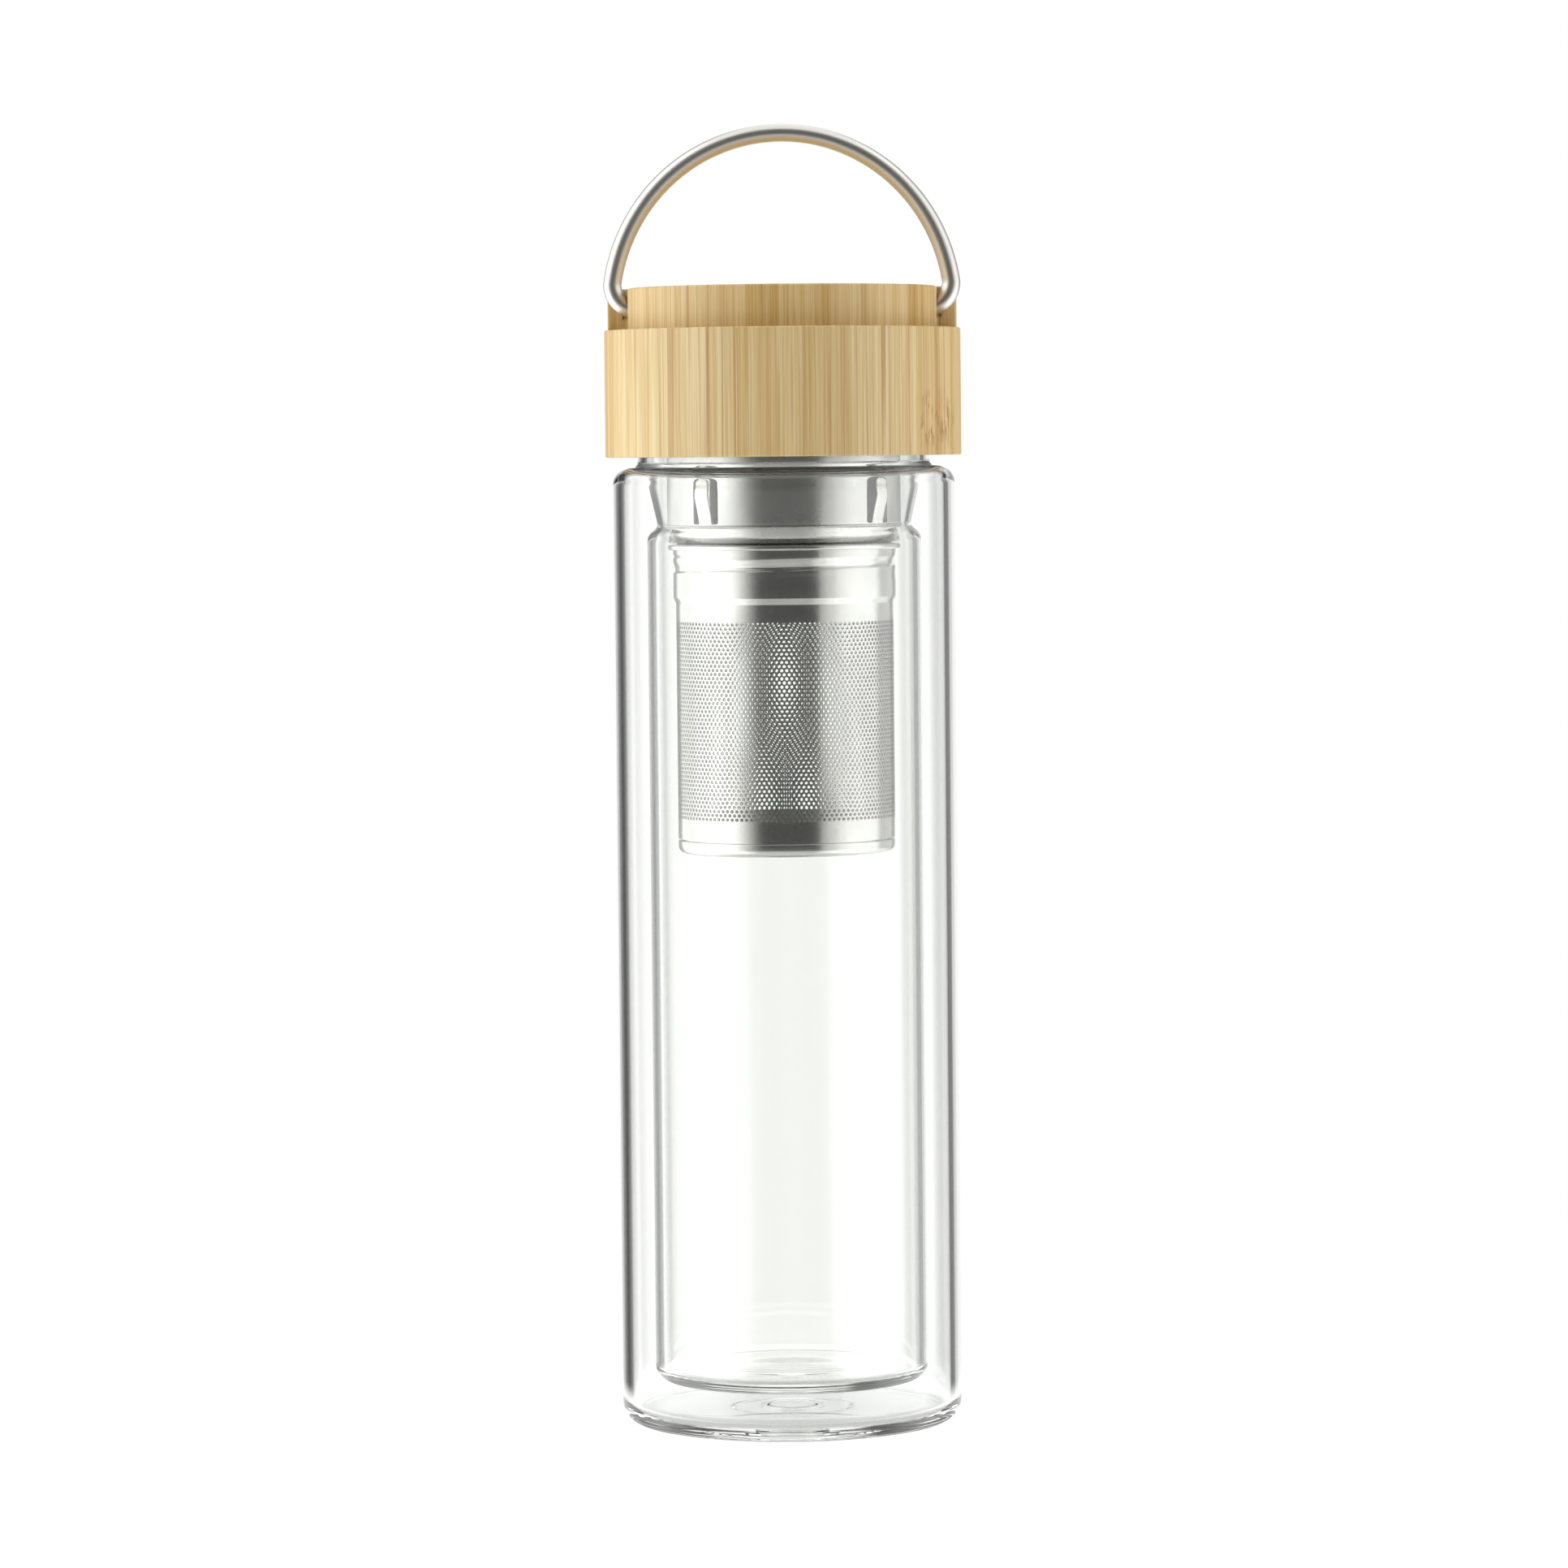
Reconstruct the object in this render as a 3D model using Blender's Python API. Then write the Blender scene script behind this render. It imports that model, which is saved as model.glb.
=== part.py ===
"""Tea bottle: a double-walled glass bottle with a screwed bamboo lid, a folding wire handle
and a two-part steel infuser that hangs from the rim.

Metres, +Z up, with the front towards -Y. The origin is the centre of the flat base.
"""

import bmesh
import bpy
from math import atan2, ceil, cos, floor, hypot, pi, radians, sin, sqrt, tan
from mathutils import Matrix, Vector

for leftover in list(bpy.data.objects):
    bpy.data.objects.remove(leftover)

MM = 0.001

# Fits and facets
GAP = 0.3 * MM  # between neighbours that touch or run on each other
OVERRUN = 0.5 * MM  # how far cutters and joined pieces pass their surfaces
WELD = 0.001 * MM  # points closer than this are one point
FINE_ROUND = 1.5 * MM  # a smaller rounding is a single chamfer
SEGMENTS = 40  # facets around the glass and the lid
INFUSER_SEGMENTS = 32  # facets around the thin steel pieces
THREAD_ROWS = 4  # facets in each pitch of a thread
ROUND_STEPS = 3  # facets in a rounded corner

# Outer glass: the jacket
BODY_HEIGHT = 188.6 * MM  # base to the top of the shoulder
BODY_WALL = 2.2 * MM
BASE_THICKNESS = 3.0 * MM
HEEL_ROUND = 4.2 * MM
SHOULDER_WIDTH = 4.9 * MM
SHOULDER_ROUND = 3.5 * MM
PUNT_RADIUS = 12.2 * MM
PUNT_DEPTH = 0.8 * MM
NECK_FOOT = 4.0 * MM  # shoulder to the thread
NECK_WALL = 1.9 * MM
NECK_THREAD_PITCH = 4.0 * MM
NECK_THREAD_HEIGHT = 0.9 * MM
NECK_THREAD_TURNS = 2.0
NECK_THREAD_DROP = 2.6 * MM  # from the rim's underside to the thread
NECK_FADE_SHARES = (0.5, 0.5)  # of a pitch, over which the thread fades in and out

# Vent seal in the base
VENT_RADIUS = 6.5 * MM
VENT_STEP_WIDTH = 1.5 * MM
VENT_STEP_HEIGHT = 1.2 * MM

# Inner glass: the vessel and its neck
NECK_BORE = 25.0 * MM
LAYER_WALL = 1.6 * MM
RIM_THICKNESS = 1.5 * MM
RIM_ROUND = 0.6 * MM
FLARE_DROP = 20.4 * MM  # rim to where the neck starts to narrow
WAIST_DROP = 28.0 * MM  # rim to the narrowest place
WAIST_CLEARANCE = 0.45 * MM  # around the sleeve's bead, which passes the waist
WAIST_WALL = 1.2 * MM
VACUUM_GAP = 4.5 * MM  # jacket's inside to the vessel
VESSEL_WALL = 2.0 * MM
VESSEL_FLOOR = 2.2 * MM
VESSEL_SLOPE = 2.9 * MM  # height over which the waist widens to the vessel
VESSEL_ROUND = 3.0 * MM
JACKET_FLOOR_GAP = 5.5 * MM

# Infuser sleeve: thin sheet, its outer surface
SHEET = 0.5 * MM
FLANGE_REACH = 2.5 * MM  # how far the flange lies on the rim
SLEEVE_CLEARANCE = 2.0 * MM
SLEEVE_LENGTH = 28.1 * MM
BEAD_STAND = 0.25 * MM
BEAD_HEIGHT = 3.5 * MM
BEAD_ROUND = 0.6 * MM
SKIRT_INSET = 1.9 * MM
SKIRT_END = 0.8 * MM  # how far the skirt reaches below the collar's thread
ROLLED_PITCH = 3.0 * MM
ROLLED_DEPTH = 0.6 * MM
ROLLED_DROP = 2.5 * MM  # basket rim to the rolled thread
ROLLED_HEIGHT = 5.1 * MM
ROLLED_START = 1.0 * MM  # foot of the thread to where its groove first passes +X
SKIRT_FADE_SHARES = (0.8, 0)  # the skirt's thread runs out at its end
COLLAR_FADE_SHARES = (0.8, 0.67)
TAB_COUNT = 4
TAB_TURN = 50.0  # degrees from the front to the first tab
TAB_SLOT_WIDTH = 6.0 * MM
TAB_SLOT_HEIGHT = 9.1 * MM
TAB_WIDTH = 2.9 * MM
TAB_KNEE_HEIGHT = 5.6 * MM
TAB_TIP_STAND = 0.5 * MM
TAB_TIP_GAP = 0.9 * MM
TAB_SHEET_SHARE = 0.9  # the lanced tabs are a little thinner than the sheet

# Sieve plate on the sleeve's inside ledge
SIEVE_HOLE_RADIUS = 1.9 * MM
SIEVE_MARGIN = 4.6 * MM  # basket's inside to the outer holes
SIEVE_RINGS = 2

# Basket and its bottom cup
BASKET_INSET = 0.5 * MM  # collar to the perforated wall
BASKET_LIP = 1.0 * MM
COLLAR_HEIGHT = 10.9 * MM
COLLAR_SLOPE = 0.9 * MM
PLAIN_TOP = 3.7 * MM
PERFORATED_HEIGHT = 37.9 * MM
PLAIN_BOTTOM = 4.2 * MM
WINDOW_ROWS = 7
WINDOW_SHARE = 0.68  # of each row's height that is open
CUP_HEIGHT = 2.8 * MM
CUP_ROUND = 1.5 * MM
CUP_SPIGOT = 2.5 * MM

# Bamboo lid
LID_LIFT = 2.0 * MM  # shoulder to the lid's lower edge
LID_WALL = 2.3 * MM
LEDGE_THICKNESS = 5.2 * MM
LID_ROUND = 0.8 * MM
TIER_HEIGHT = 8.2 * MM
TIER_INSET = 0.55 * MM
TIER_ROUND = 1.0 * MM
LOBE_INSET = 4.6 * MM
FLARE_EASE = 0.33 * MM  # around the wire where it bends inside the lobe
FLARE_LEAD = 1.0 * MM

# Liner in the lid, and its gasket
LINER_WALL = 1.5 * MM
LINER_DISC = 1.6 * MM
LINER_THREAD_TURNS = 1.5
LINER_INSET = 0.6 * MM  # from the lid's lower edge
LINER_ROUND = 1.0 * MM
GASKET_THICKNESS = 2.0 * MM
GASKET_WIDTH = 5.4 * MM
GASKET_OVERHANG = 1.0 * MM

# Wire handle
WIRE_RADIUS = 1.8 * MM
PIVOT_LIFT = 4.0 * MM  # ledge to the pivot
ARCH_INSET = 1.25 * MM
ARCH_HEIGHT = 34.5 * MM
BEND_RADIUS = 5.0 * MM
PIN_DEPTH = 8.4 * MM
ARCH_STEPS = 26
BEND_STEPS = 5

# Radii that follow, from the bore outwards
LAYER_RADIUS = NECK_BORE + LAYER_WALL
JACKET_NECK_BORE = LAYER_RADIUS + GAP
NECK_RADIUS = JACKET_NECK_BORE + NECK_WALL
BODY_RADIUS = NECK_RADIUS + SHOULDER_WIDTH
VENT_STEP_RADIUS = VENT_RADIUS - VENT_STEP_WIDTH
VESSEL_RADIUS = BODY_RADIUS - BODY_WALL - VACUUM_GAP
LINER_BORE = NECK_RADIUS + 2 * NECK_THREAD_HEIGHT + GAP
LINER_RADIUS = LINER_BORE + LINER_WALL
LID_BORE = LINER_RADIUS + GAP
LID_RADIUS = LID_BORE + LID_WALL
TIER_RADIUS = LID_RADIUS - TIER_INSET
LOBE_RADIUS = LID_RADIUS - LOBE_INSET
SLEEVE_RADIUS = NECK_BORE - SLEEVE_CLEARANCE
BEAD_RADIUS = SLEEVE_RADIUS + BEAD_STAND
WAIST_BORE = BEAD_RADIUS + WAIST_CLEARANCE
FLANGE_RADIUS = NECK_BORE + FLANGE_REACH
SKIRT_RADIUS = SLEEVE_RADIUS - SKIRT_INSET
COLLAR_RADIUS = SKIRT_RADIUS + GAP + SHEET
BASKET_RADIUS = COLLAR_RADIUS - BASKET_INSET
SPIGOT_RADIUS = BASKET_RADIUS - SHEET - GAP
SIEVE_RING_STEP = (SPIGOT_RADIUS - SHEET - SIEVE_MARGIN - SIEVE_HOLE_RADIUS) / SIEVE_RINGS
ARCH_HALF_WIDTH = LID_RADIUS - ARCH_INSET
ARCH_SPRING = ARCH_HALF_WIDTH * sqrt(1 - (BEND_RADIUS / ARCH_HEIGHT) ** 2)
BEND_INSIDE = min(max(LOBE_RADIUS + BEND_RADIUS - ARCH_SPRING, 0), BEND_RADIUS)
BEND_RISE = BEND_RADIUS - sqrt(BEND_RADIUS**2 - BEND_INSIDE**2)

# Heights that follow, upwards from the shoulder and down from the rim
JACKET_TOP = BODY_HEIGHT + NECK_FOOT + NECK_THREAD_TURNS * NECK_THREAD_PITCH + NECK_THREAD_DROP
RIM = JACKET_TOP + GAP + RIM_THICKNESS
FLANGE_BOTTOM = RIM + GAP
FLANGE_TOP = FLANGE_BOTTOM + SHEET
GASKET_BOTTOM = FLANGE_TOP + GAP
GASKET_TOP = GASKET_BOTTOM + GASKET_THICKNESS
LINER_CEILING = GASKET_TOP + GAP
LINER_TOP = LINER_CEILING + LINER_DISC
LID_BOTTOM = BODY_HEIGHT + LID_LIFT
LID_CEILING = LINER_TOP + GAP
LEDGE = LID_CEILING + LEDGE_THICKNESS
LID_TOP = LEDGE + TIER_HEIGHT
PIVOT = LEDGE + PIVOT_LIFT
BEAD_TOP = FLANGE_BOTTOM - SLEEVE_LENGTH
BEAD_BOTTOM = BEAD_TOP - BEAD_HEIGHT
BASKET_TOP = BEAD_BOTTOM - GAP
ROLLED_TOP = BASKET_TOP - ROLLED_DROP
ROLLED_BOTTOM = ROLLED_TOP - ROLLED_HEIGHT
ROLLED_CREST = ROLLED_BOTTOM + ROLLED_START
SKIRT_BOTTOM = ROLLED_BOTTOM - SKIRT_END
COLLAR_FOOT = BASKET_TOP - COLLAR_HEIGHT
COLLAR_BOTTOM = COLLAR_FOOT - COLLAR_SLOPE
PERFORATED_TOP = COLLAR_BOTTOM - PLAIN_TOP
PERFORATED_BOTTOM = PERFORATED_TOP - PERFORATED_HEIGHT
BASKET_BOTTOM = PERFORATED_BOTTOM - PLAIN_BOTTOM
CUP_TOP = BASKET_BOTTOM - GAP
CUP_BOTTOM = CUP_TOP - CUP_HEIGHT


def outline(corners, closed=True):
    """The points of an outline. A corner is (radius, height) or (radius, height, rounding)."""
    points = []
    for i, corner in enumerate(corners):
        here = Vector(corner[:2])
        rounding = corner[2] if len(corner) > 2 else 0
        if not rounding or (not closed and i in (0, len(corners) - 1)):
            points.append(here)
            continue
        before = (Vector(corners[i - 1][:2]) - here).normalized()
        after = (Vector(corners[(i + 1) % len(corners)][:2]) - here).normalized()
        half = before.angle(after) / 2
        reach = rounding / tan(half)
        centre = here + (before + after).normalized() * rounding / sin(half)
        first = here + before * reach - centre
        last = here + after * reach - centre
        sweep = atan2(first.x * last.y - first.y * last.x, first.dot(last))
        steps = ROUND_STEPS if rounding > FINE_ROUND else 1
        for step in range(steps + 1):
            points.append(centre + Matrix.Rotation(sweep * step / steps, 2) @ first)
    return points


def rows(radius, top, bottom, spacing):
    """Corners down a wall, close enough together to carry a thread."""
    count = ceil((top - bottom) / spacing)
    return [(radius, top + (bottom - top) * i / count) for i in range(count + 1)]


def turned(points, closed=True, segments=SEGMENTS):
    """A bmesh of the outline turned about the Z axis."""
    bm = bmesh.new()
    verts = [bm.verts.new((p[0], 0, p[1])) for p in points]
    ends = verts[1:] + verts[:1] if closed else verts[1:]
    edges = [bm.edges.new(pair) for pair in zip(verts, ends)]
    bmesh.ops.spin(
        bm, geom=verts + edges, axis=(0, 0, 1), cent=(0, 0, 0), angle=2 * pi, steps=segments, use_merge=True
    )
    bmesh.ops.remove_doubles(bm, verts=bm.verts, dist=WELD)
    bmesh.ops.dissolve_degenerate(bm, dist=WELD, edges=bm.edges)
    if closed:
        bmesh.ops.recalc_face_normals(bm, faces=bm.faces)
    return bm


def turned_solid(corners, segments=SEGMENTS):
    """A solid of revolution whose outline starts and ends on the axis."""
    bm = turned(outline(corners, closed=False), closed=False, segments=segments)
    bmesh.ops.recalc_face_normals(bm, faces=bm.faces)
    return bm


def turned_sheet(corners):
    """An open sheet of revolution, whose faces point away from the axis."""
    bm = turned(outline(corners, closed=False), closed=False, segments=INFUSER_SEGMENTS)
    bmesh.ops.recalc_face_normals(bm, faces=bm.faces)
    bm.normal_update()
    centres = [(f.normal, f.calc_center_median()) for f in bm.faces]
    if sum(normal.x * at.x + normal.y * at.y for normal, at in centres) < 0:
        bmesh.ops.reverse_faces(bm, faces=bm.faces)
    return bm


def wind_thread(bm, radius, height, pitch, top, bottom, crest, fades):
    """Raises a right-hand thread of the given height on a wall, or sinks it below zero height.

    crest is a height at which the thread's crest passes +X, and fades says over how many
    pitches the thread fades in at the top and out at the bottom.
    """
    for v in bm.verts:
        r = hypot(v.co.x, v.co.y)
        if abs(r - radius) > WELD or not bottom < v.co.z < top:
            continue
        turn = (v.co.z - crest) / pitch - atan2(v.co.y, v.co.x) / (2 * pi)
        wave = (1 + cos(2 * pi * turn)) / 2
        fade = 1
        for share, away in zip(fades, (top - v.co.z, v.co.z - bottom)):
            if share:
                fade = min(fade, away / (share * pitch))
        r += height * wave * fade
        v.co.x, v.co.y = v.co.x * r / radius, v.co.y * r / radius


def piece(name, bm, material):
    """A named object made from the bmesh, shaded smooth but for its sharp edges."""
    mesh = bpy.data.meshes.new(name)
    bm.to_mesh(mesh)
    bm.free()
    mesh.shade_smooth()
    mesh.set_sharp_from_angle(angle=radians(35))
    made = bpy.data.objects.new(name, mesh)
    bpy.context.collection.objects.link(made)
    made.data.materials.append(finish(name, *material))
    return made


def finish(name, colour, roughness, metallic, transmission=0.0):
    """A material of the piece's own, with its colour and gloss."""
    made = bpy.data.materials.new(name)
    made.use_nodes = True
    shader = made.node_tree.nodes["Principled BSDF"]
    shader.inputs["Base Color"].default_value = (*colour, 1)
    shader.inputs["Roughness"].default_value = roughness
    shader.inputs["Metallic"].default_value = metallic
    shader.inputs["Transmission Weight"].default_value = transmission
    return made


def helper(name, bm):
    """A cutter or an added shape that isn't a piece itself."""
    made = piece(name, bm, ((0.5, 0.5, 0.5), 0.5, 0))
    made.hide_render = True
    made.display_type = "WIRE"
    return made


def combine(target, operation, other):
    """Cuts the other shape from the target, or joins it on."""
    modifier = target.modifiers.new(other.name, "BOOLEAN")
    modifier.operation = operation
    modifier.object = other
    modifier.solver = "EXACT"


def thicken(sheet_object):
    """Gives a sheet its thickness, inwards from the outer surface."""
    modifier = sheet_object.modifiers.new("sheet", "SOLIDIFY")
    modifier.thickness = SHEET
    modifier.offset = -1
    modifier.use_even_offset = True
    modifier.use_quality_normals = True


CLEAR_GLASS = ((0.93, 0.97, 0.95), 0.02, 0.0, 1.0)
STEEL = ((0.72, 0.71, 0.69), 0.28, 1.0)
WIRE_STEEL = ((0.78, 0.77, 0.75), 0.22, 1.0)
BAMBOO = ((0.80, 0.60, 0.36), 0.45, 0.0)
LINER_WHITE = ((0.90, 0.90, 0.88), 0.40, 0.0)
SILICONE = ((0.92, 0.92, 0.90), 0.60, 0.0)


def outer_glass():
    """The jacket, from the step of its vent hole out, up and down inside again."""
    heel_inside = max(HEEL_ROUND - BODY_WALL, 0)
    shoulder_inside = max(SHOULDER_ROUND - BODY_WALL, 0)
    thread_top = JACKET_TOP - NECK_THREAD_DROP
    thread_bottom = thread_top - NECK_THREAD_TURNS * NECK_THREAD_PITCH
    corners = [
        (VENT_RADIUS, PUNT_DEPTH),
        (PUNT_RADIUS - PUNT_DEPTH, PUNT_DEPTH),
        (PUNT_RADIUS, 0),
        (BODY_RADIUS, 0, HEEL_ROUND),
        (BODY_RADIUS, BODY_HEIGHT, SHOULDER_ROUND),
        (NECK_RADIUS, BODY_HEIGHT),
        *reversed(rows(NECK_RADIUS, thread_top, thread_bottom, NECK_THREAD_PITCH / THREAD_ROWS)),
        (NECK_RADIUS, JACKET_TOP),
        (JACKET_NECK_BORE, JACKET_TOP),
        (JACKET_NECK_BORE, BODY_HEIGHT - BODY_WALL),
        (BODY_RADIUS - BODY_WALL, BODY_HEIGHT - BODY_WALL, shoulder_inside),
        (BODY_RADIUS - BODY_WALL, BASE_THICKNESS, heel_inside),
        (VENT_STEP_RADIUS, BASE_THICKNESS),
        (VENT_STEP_RADIUS, PUNT_DEPTH + VENT_STEP_HEIGHT),
        (VENT_RADIUS, PUNT_DEPTH + VENT_STEP_HEIGHT),
    ]
    bm = turned(outline(corners))
    thread = NECK_THREAD_HEIGHT, NECK_THREAD_PITCH, thread_top, thread_bottom, thread_bottom
    wind_thread(bm, NECK_RADIUS, *thread, NECK_FADE_SHARES)
    return piece("outer_glass", bm, CLEAR_GLASS)


def vent_seal():
    """The stepped plug in the jacket's vent hole, up against the step."""
    corners = [
        (0, PUNT_DEPTH),
        (VENT_RADIUS - GAP, PUNT_DEPTH),
        (VENT_RADIUS - GAP, PUNT_DEPTH + VENT_STEP_HEIGHT - GAP),
        (VENT_STEP_RADIUS - GAP, PUNT_DEPTH + VENT_STEP_HEIGHT - GAP),
        (VENT_STEP_RADIUS - GAP, BASE_THICKNESS),
        (0, BASE_THICKNESS),
    ]
    return piece("vent_seal", turned_solid(corners), CLEAR_GLASS)


def inner_glass():
    """The vessel, its waist and its flared neck, whose rim lies over the jacket's neck."""
    vessel_bottom = BASE_THICKNESS + JACKET_FLOOR_GAP
    vessel_top = RIM - WAIST_DROP - VESSEL_SLOPE
    corners = [
        (0, vessel_bottom),
        (VESSEL_RADIUS, vessel_bottom, VESSEL_ROUND),
        (VESSEL_RADIUS, vessel_top),
        (WAIST_BORE + WAIST_WALL, RIM - WAIST_DROP),
        (LAYER_RADIUS, RIM - FLARE_DROP),
        (LAYER_RADIUS, RIM - RIM_THICKNESS),
        (NECK_RADIUS, RIM - RIM_THICKNESS, RIM_ROUND),
        (NECK_RADIUS, RIM, RIM_ROUND),
        (NECK_BORE, RIM, RIM_ROUND),
        (NECK_BORE, RIM - FLARE_DROP),
        (WAIST_BORE, RIM - WAIST_DROP),
        (VESSEL_RADIUS - VESSEL_WALL, vessel_top),
        (VESSEL_RADIUS - VESSEL_WALL, vessel_bottom + VESSEL_FLOOR, max(VESSEL_ROUND - VESSEL_WALL, 0)),
        (0, vessel_bottom + VESSEL_FLOOR),
    ]
    return piece("inner_glass", turned_solid(corners), CLEAR_GLASS)


def infuser_sleeve():
    """The upper half of the infuser: flange, sleeve, bead and a skirt with a rolled thread."""
    corners = [
        (FLANGE_RADIUS, FLANGE_BOTTOM),
        (SLEEVE_RADIUS, FLANGE_BOTTOM),
        (SLEEVE_RADIUS, BEAD_TOP),
        (BEAD_RADIUS, BEAD_TOP - BEAD_ROUND),
        (BEAD_RADIUS, BEAD_BOTTOM, BEAD_ROUND),
        (SKIRT_RADIUS, BEAD_BOTTOM),
        *rows(SKIRT_RADIUS, ROLLED_TOP, SKIRT_BOTTOM, ROLLED_PITCH / THREAD_ROWS),
    ]
    bm = turned_sheet(corners)
    thread = -ROLLED_DEPTH, ROLLED_PITCH, ROLLED_TOP, SKIRT_BOTTOM - OVERRUN, ROLLED_CREST
    wind_thread(bm, SKIRT_RADIUS, *thread, SKIRT_FADE_SHARES)
    made = piece("infuser_sleeve", bm, STEEL)
    thicken(made)
    combine(made, "DIFFERENCE", helper("tab_slots", tab_slots()))
    combine(made, "UNION", helper("tab_tongues", tab_tongues()))
    return made


def around_tabs(bm, verts_of_one):
    """Copies one tab's shape, made at +X, to each tab's place."""
    geometry = verts_of_one + [e for e in bm.edges] + [f for f in bm.faces]
    for i in range(TAB_COUNT):
        turn = Matrix.Rotation(radians(TAB_TURN - 90) + 2 * pi * i / TAB_COUNT, 3, "Z")
        copied = bmesh.ops.duplicate(bm, geom=geometry)["geom"]
        new_verts = [g for g in copied if isinstance(g, bmesh.types.BMVert)]
        bmesh.ops.rotate(bm, verts=new_verts, cent=(0, 0, 0), matrix=turn)
    bmesh.ops.delete(bm, geom=verts_of_one, context="VERTS")
    bmesh.ops.recalc_face_normals(bm, faces=bm.faces)
    return bm


def block(bm, low, high):
    """A box between two corners."""
    low, high = Vector(low), Vector(high)
    made = bmesh.ops.create_cube(bm, size=1)["verts"]
    bmesh.ops.scale(bm, vec=high - low, verts=made)
    bmesh.ops.translate(bm, vec=(low + high) / 2, verts=made)
    return made


def tab_slots():
    """The openings that the spring tabs are lanced from."""
    bm = bmesh.new()
    low = (SLEEVE_RADIUS - 2 * SHEET, -TAB_SLOT_WIDTH / 2, BEAD_TOP + GAP)
    high = (SLEEVE_RADIUS + SHEET, TAB_SLOT_WIDTH / 2, BEAD_TOP + GAP + TAB_SLOT_HEIGHT)
    return around_tabs(bm, block(bm, low, high))


def neck_bore(height):
    """The radius inside the inner glass where its neck narrows to the waist."""
    share = (height - RIM + WAIST_DROP) / (WAIST_DROP - FLARE_DROP)
    return WAIST_BORE + (NECK_BORE - WAIST_BORE) * min(max(share, 0), 1)


def tab_tongues():
    """The spring tabs, fast at their lower ends and bent out to a knee that grips the neck."""
    bm = bmesh.new()
    thickness = TAB_SHEET_SHARE * SHEET
    root = SLEEVE_RADIUS - SHEET
    slot_bottom = BEAD_TOP + GAP
    knee = BEAD_TOP + TAB_KNEE_HEIGHT
    side = [
        (root, slot_bottom - OVERRUN),
        (root, slot_bottom + OVERRUN),
        (neck_bore(knee) - GAP - thickness, knee),
        (root + TAB_TIP_STAND, slot_bottom + TAB_SLOT_HEIGHT - TAB_TIP_GAP),
    ]
    sides = side + [(r + thickness, z) for r, z in reversed(side)]
    verts = [bm.verts.new((r, -TAB_WIDTH / 2, z)) for r, z in sides]
    face = bm.faces.new(verts)
    moved = bmesh.ops.extrude_face_region(bm, geom=[face])["geom"]
    far = [g for g in moved if isinstance(g, bmesh.types.BMVert)]
    bmesh.ops.translate(bm, vec=(0, TAB_WIDTH, 0), verts=far)
    return around_tabs(bm, list(bm.verts))


def plate_drills(rings, step, radius, low, high):
    """A rod through each hole of a plate whose holes lie in rings of six, twelve and so on."""
    bm = bmesh.new()
    places = [(0, 0)]
    for ring in range(1, rings + 1):
        for i in range(6 * ring):
            angle = 2 * pi * i / (6 * ring)
            places.append((ring * step * cos(angle), ring * step * sin(angle)))
    for x, y in places:
        at = Matrix.Translation((x, y, (low + high) / 2))
        bmesh.ops.create_cone(
            bm, cap_ends=True, segments=6, radius1=radius, radius2=radius, depth=high - low, matrix=at
        )
    return bm


def sieve_plate():
    """The perforated disc that lies on the sleeve's inside ledge."""
    low = BEAD_BOTTOM + SHEET + GAP
    high = low + SHEET
    radius = BEAD_RADIUS - SHEET - GAP
    corners = [(0, low), (radius, low, BEAD_ROUND / 2), (radius, high), (0, high)]
    made = piece("sieve_plate", turned_solid(corners, INFUSER_SEGMENTS), STEEL)
    drills = plate_drills(SIEVE_RINGS, SIEVE_RING_STEP, SIEVE_HOLE_RADIUS, low - OVERRUN, high + OVERRUN)
    combine(made, "DIFFERENCE", helper("sieve_drills", drills))
    return made


def infuser_basket():
    """The lower half of the infuser: flange, threaded collar and the perforated wall."""
    row_height = PERFORATED_HEIGHT / WINDOW_ROWS
    wall = []
    for row in range(WINDOW_ROWS):
        window_top = PERFORATED_TOP - row * row_height
        wall += [(BASKET_RADIUS, window_top), (BASKET_RADIUS, window_top - WINDOW_SHARE * row_height)]
    corners = [
        (COLLAR_RADIUS + BASKET_LIP, BASKET_TOP - SHEET),
        (COLLAR_RADIUS, BASKET_TOP - SHEET),
        *rows(COLLAR_RADIUS, ROLLED_TOP, ROLLED_BOTTOM, ROLLED_PITCH / THREAD_ROWS),
        (COLLAR_RADIUS, COLLAR_FOOT),
        (BASKET_RADIUS, COLLAR_BOTTOM),
        *wall,
        (BASKET_RADIUS, BASKET_BOTTOM),
    ]
    bm = turned_sheet(corners)
    thread = -ROLLED_DEPTH, ROLLED_PITCH, ROLLED_TOP, ROLLED_BOTTOM, ROLLED_CREST
    wind_thread(bm, COLLAR_RADIUS, *thread, COLLAR_FADE_SHARES)
    windows = []
    for face in bm.faces:
        centre = face.calc_center_median()
        row = floor((PERFORATED_TOP - centre.z) / row_height)
        depth = (PERFORATED_TOP - centre.z) / row_height - row
        column = floor(atan2(centre.y, centre.x) / (2 * pi) * INFUSER_SEGMENTS)
        if 0 <= row < WINDOW_ROWS and depth < WINDOW_SHARE and (row + column) % 2:
            windows.append(face)
    bmesh.ops.delete(bm, geom=windows, context="FACES")
    made = piece("infuser_basket", bm, STEEL)
    thicken(made)
    return made


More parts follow.
